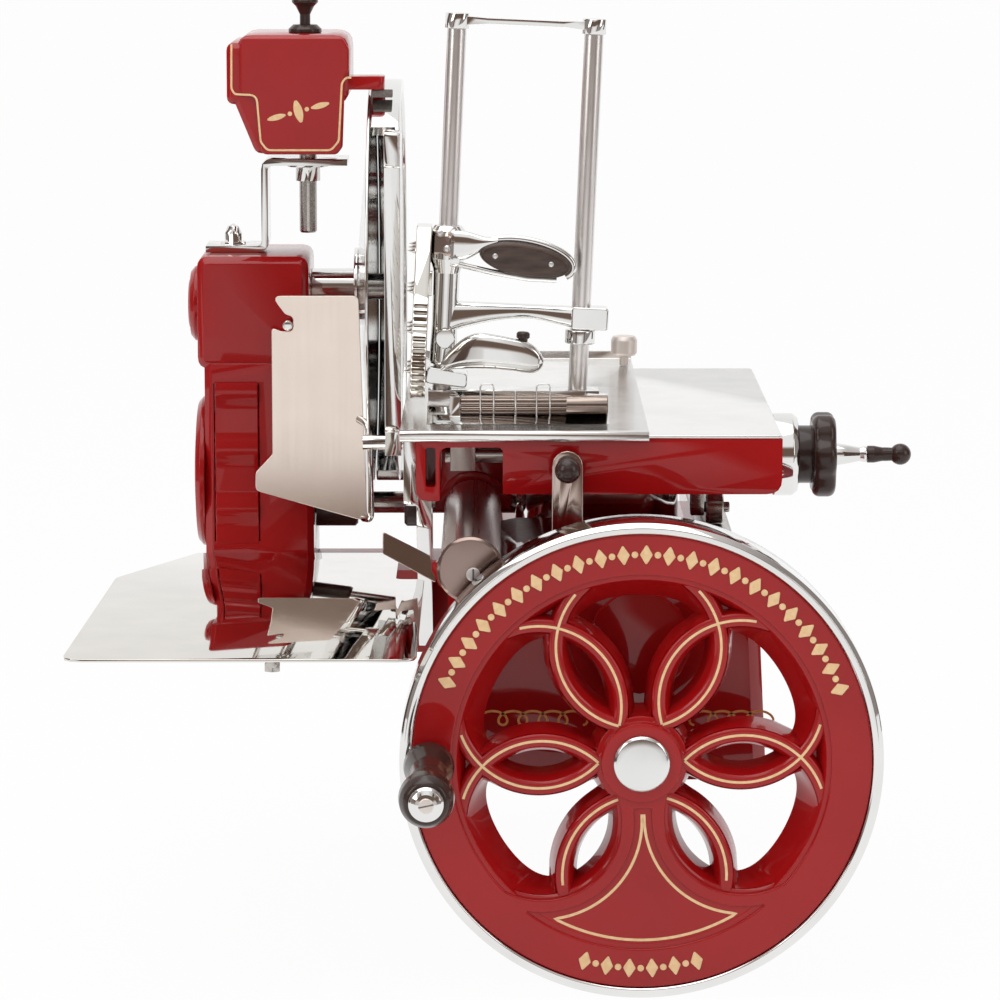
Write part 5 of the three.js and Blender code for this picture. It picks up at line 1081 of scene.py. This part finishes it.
def studio_world():
    """Even soft light; reflections see a bright room, darker at its sides and with a warm dark band."""
    soft, bright = 0.6, 0.95
    world = bpy.data.worlds.new("studio")
    world.use_nodes = True
    nodes, links = world.node_tree.nodes, world.node_tree.links

    def value(operation, first, second):
        node = nodes.new("ShaderNodeMath")
        node.operation = operation
        for slot, item in zip(node.inputs, (first, second)):
            if isinstance(item, (int, float)):
                slot.default_value = item
            else:
                links.new(item, slot)
        return node.outputs["Value"]

    place = nodes.new("ShaderNodeTexCoord")
    axes = nodes.new("ShaderNodeSeparateXYZ")
    rays = nodes.new("ShaderNodeLightPath")
    links.new(place.outputs["Generated"], axes.inputs["Vector"])
    glossy = rays.outputs["Is Glossy Ray"]
    toward = spread(nodes, links, axes.outputs["Y"], 1, 0, -0.6, -0.2)
    height = value("ABSOLUTE", value("SUBTRACT", axes.outputs["Z"], 0.22), 0)
    band = value("MULTIPLY", toward, spread(nodes, links, height, 1, 0, 0.16, 0.28))
    aside = spread(nodes, links, value("ABSOLUTE", axes.outputs["X"], 0), 0, 0.6, 0.15, 0.7)
    mirrored = value("SUBTRACT", bright, value("MAXIMUM", aside, value("MULTIPLY", band, 0.7)))
    level = value("ADD", value("MULTIPLY", glossy, value("SUBTRACT", mirrored, soft)), soft)
    seen = value("MAXIMUM", level, rays.outputs["Is Camera Ray"])
    links.new(seen, nodes["Background"].inputs["Strength"])
    warm = value("MULTIPLY", value("MAXIMUM", band, value("MULTIPLY", aside, 0.8)), glossy)
    tone = two_colours(nodes, links, warm, (1, 1, 1), (0.62, 0.42, 0.33))
    links.new(tone, nodes["Background"].inputs["Color"])
    bpy.context.scene.world = world


def dark_card(name, place, size, turn):
    """A dark brown board outside the camera's view, which only reflections show."""
    half, tall = size[0] / 2, size[1] / 2
    mesh = bpy.data.meshes.new(name)
    mesh.from_pydata([(x, 0, z) for x, z in rectangle(-half, half, -tall, tall)], [], [(0, 1, 2, 3)])
    material, *_, shader = new_material(name)
    shader.inputs["Base Color"].default_value = (0.10, 0.058, 0.042, 1)
    shader.inputs["Roughness"].default_value = 0.9
    mesh.materials.append(material)
    card = in_scene(name, mesh)
    card.location = place
    card.rotation_euler = (0, 0, math.radians(turn))
    card.visible_camera = False
    card.visible_diffuse = False
    card.visible_shadow = False


def softbox(name, place, size, power):
    target = (0, 0, 0.2)
    light = bpy.data.lights.new(name, "AREA")
    light.shape = "RECTANGLE"
    light.size, light.size_y = size
    light.energy = power
    lamp = in_scene(name, light)
    lamp.location = place
    lamp.rotation_euler = (Vector(target) - Vector(place)).to_track_quat("-Z", "Y").to_euler()


def light_and_camera():
    scene = bpy.context.scene
    downward = 8.7
    studio_world()
    softbox("top_light", (-0.4, -0.3, 2.3), (2.2, 2.0), 22)
    softbox("left_light", (-2.2, -1.8, 1.5), (1.0, 1.8), 14)
    softbox("right_light", (2.3, -1.5, 1.2), (0.9, 1.8), 9)
    dark_card("card_left", (-1.25, -2.2, 0.5), (0.7, 2.4), 30)
    dark_card("card_right", (1.25, -2.2, 0.5), (0.7, 2.4), -30)
    dark_card("card_far_left", (-2.3, 0.3, 0.6), (0.7, 2.6), 90)
    dark_card("card_far_right", (2.3, 0.6, 0.6), (0.7, 2.6), 90)
    camera = bpy.data.cameras.new("photo_view")
    camera.lens = 158.4
    camera.sensor_width = 36
    camera.clip_end = 60
    eye = in_scene("photo_view", camera)
    eye.location = (-0.08, -3.2809, 0.6606)
    eye.rotation_euler = (math.radians(90 - downward), 0, 0)
    scene.camera = eye
    scene.view_settings.view_transform = "Standard"


stage_floor()
light_and_camera()
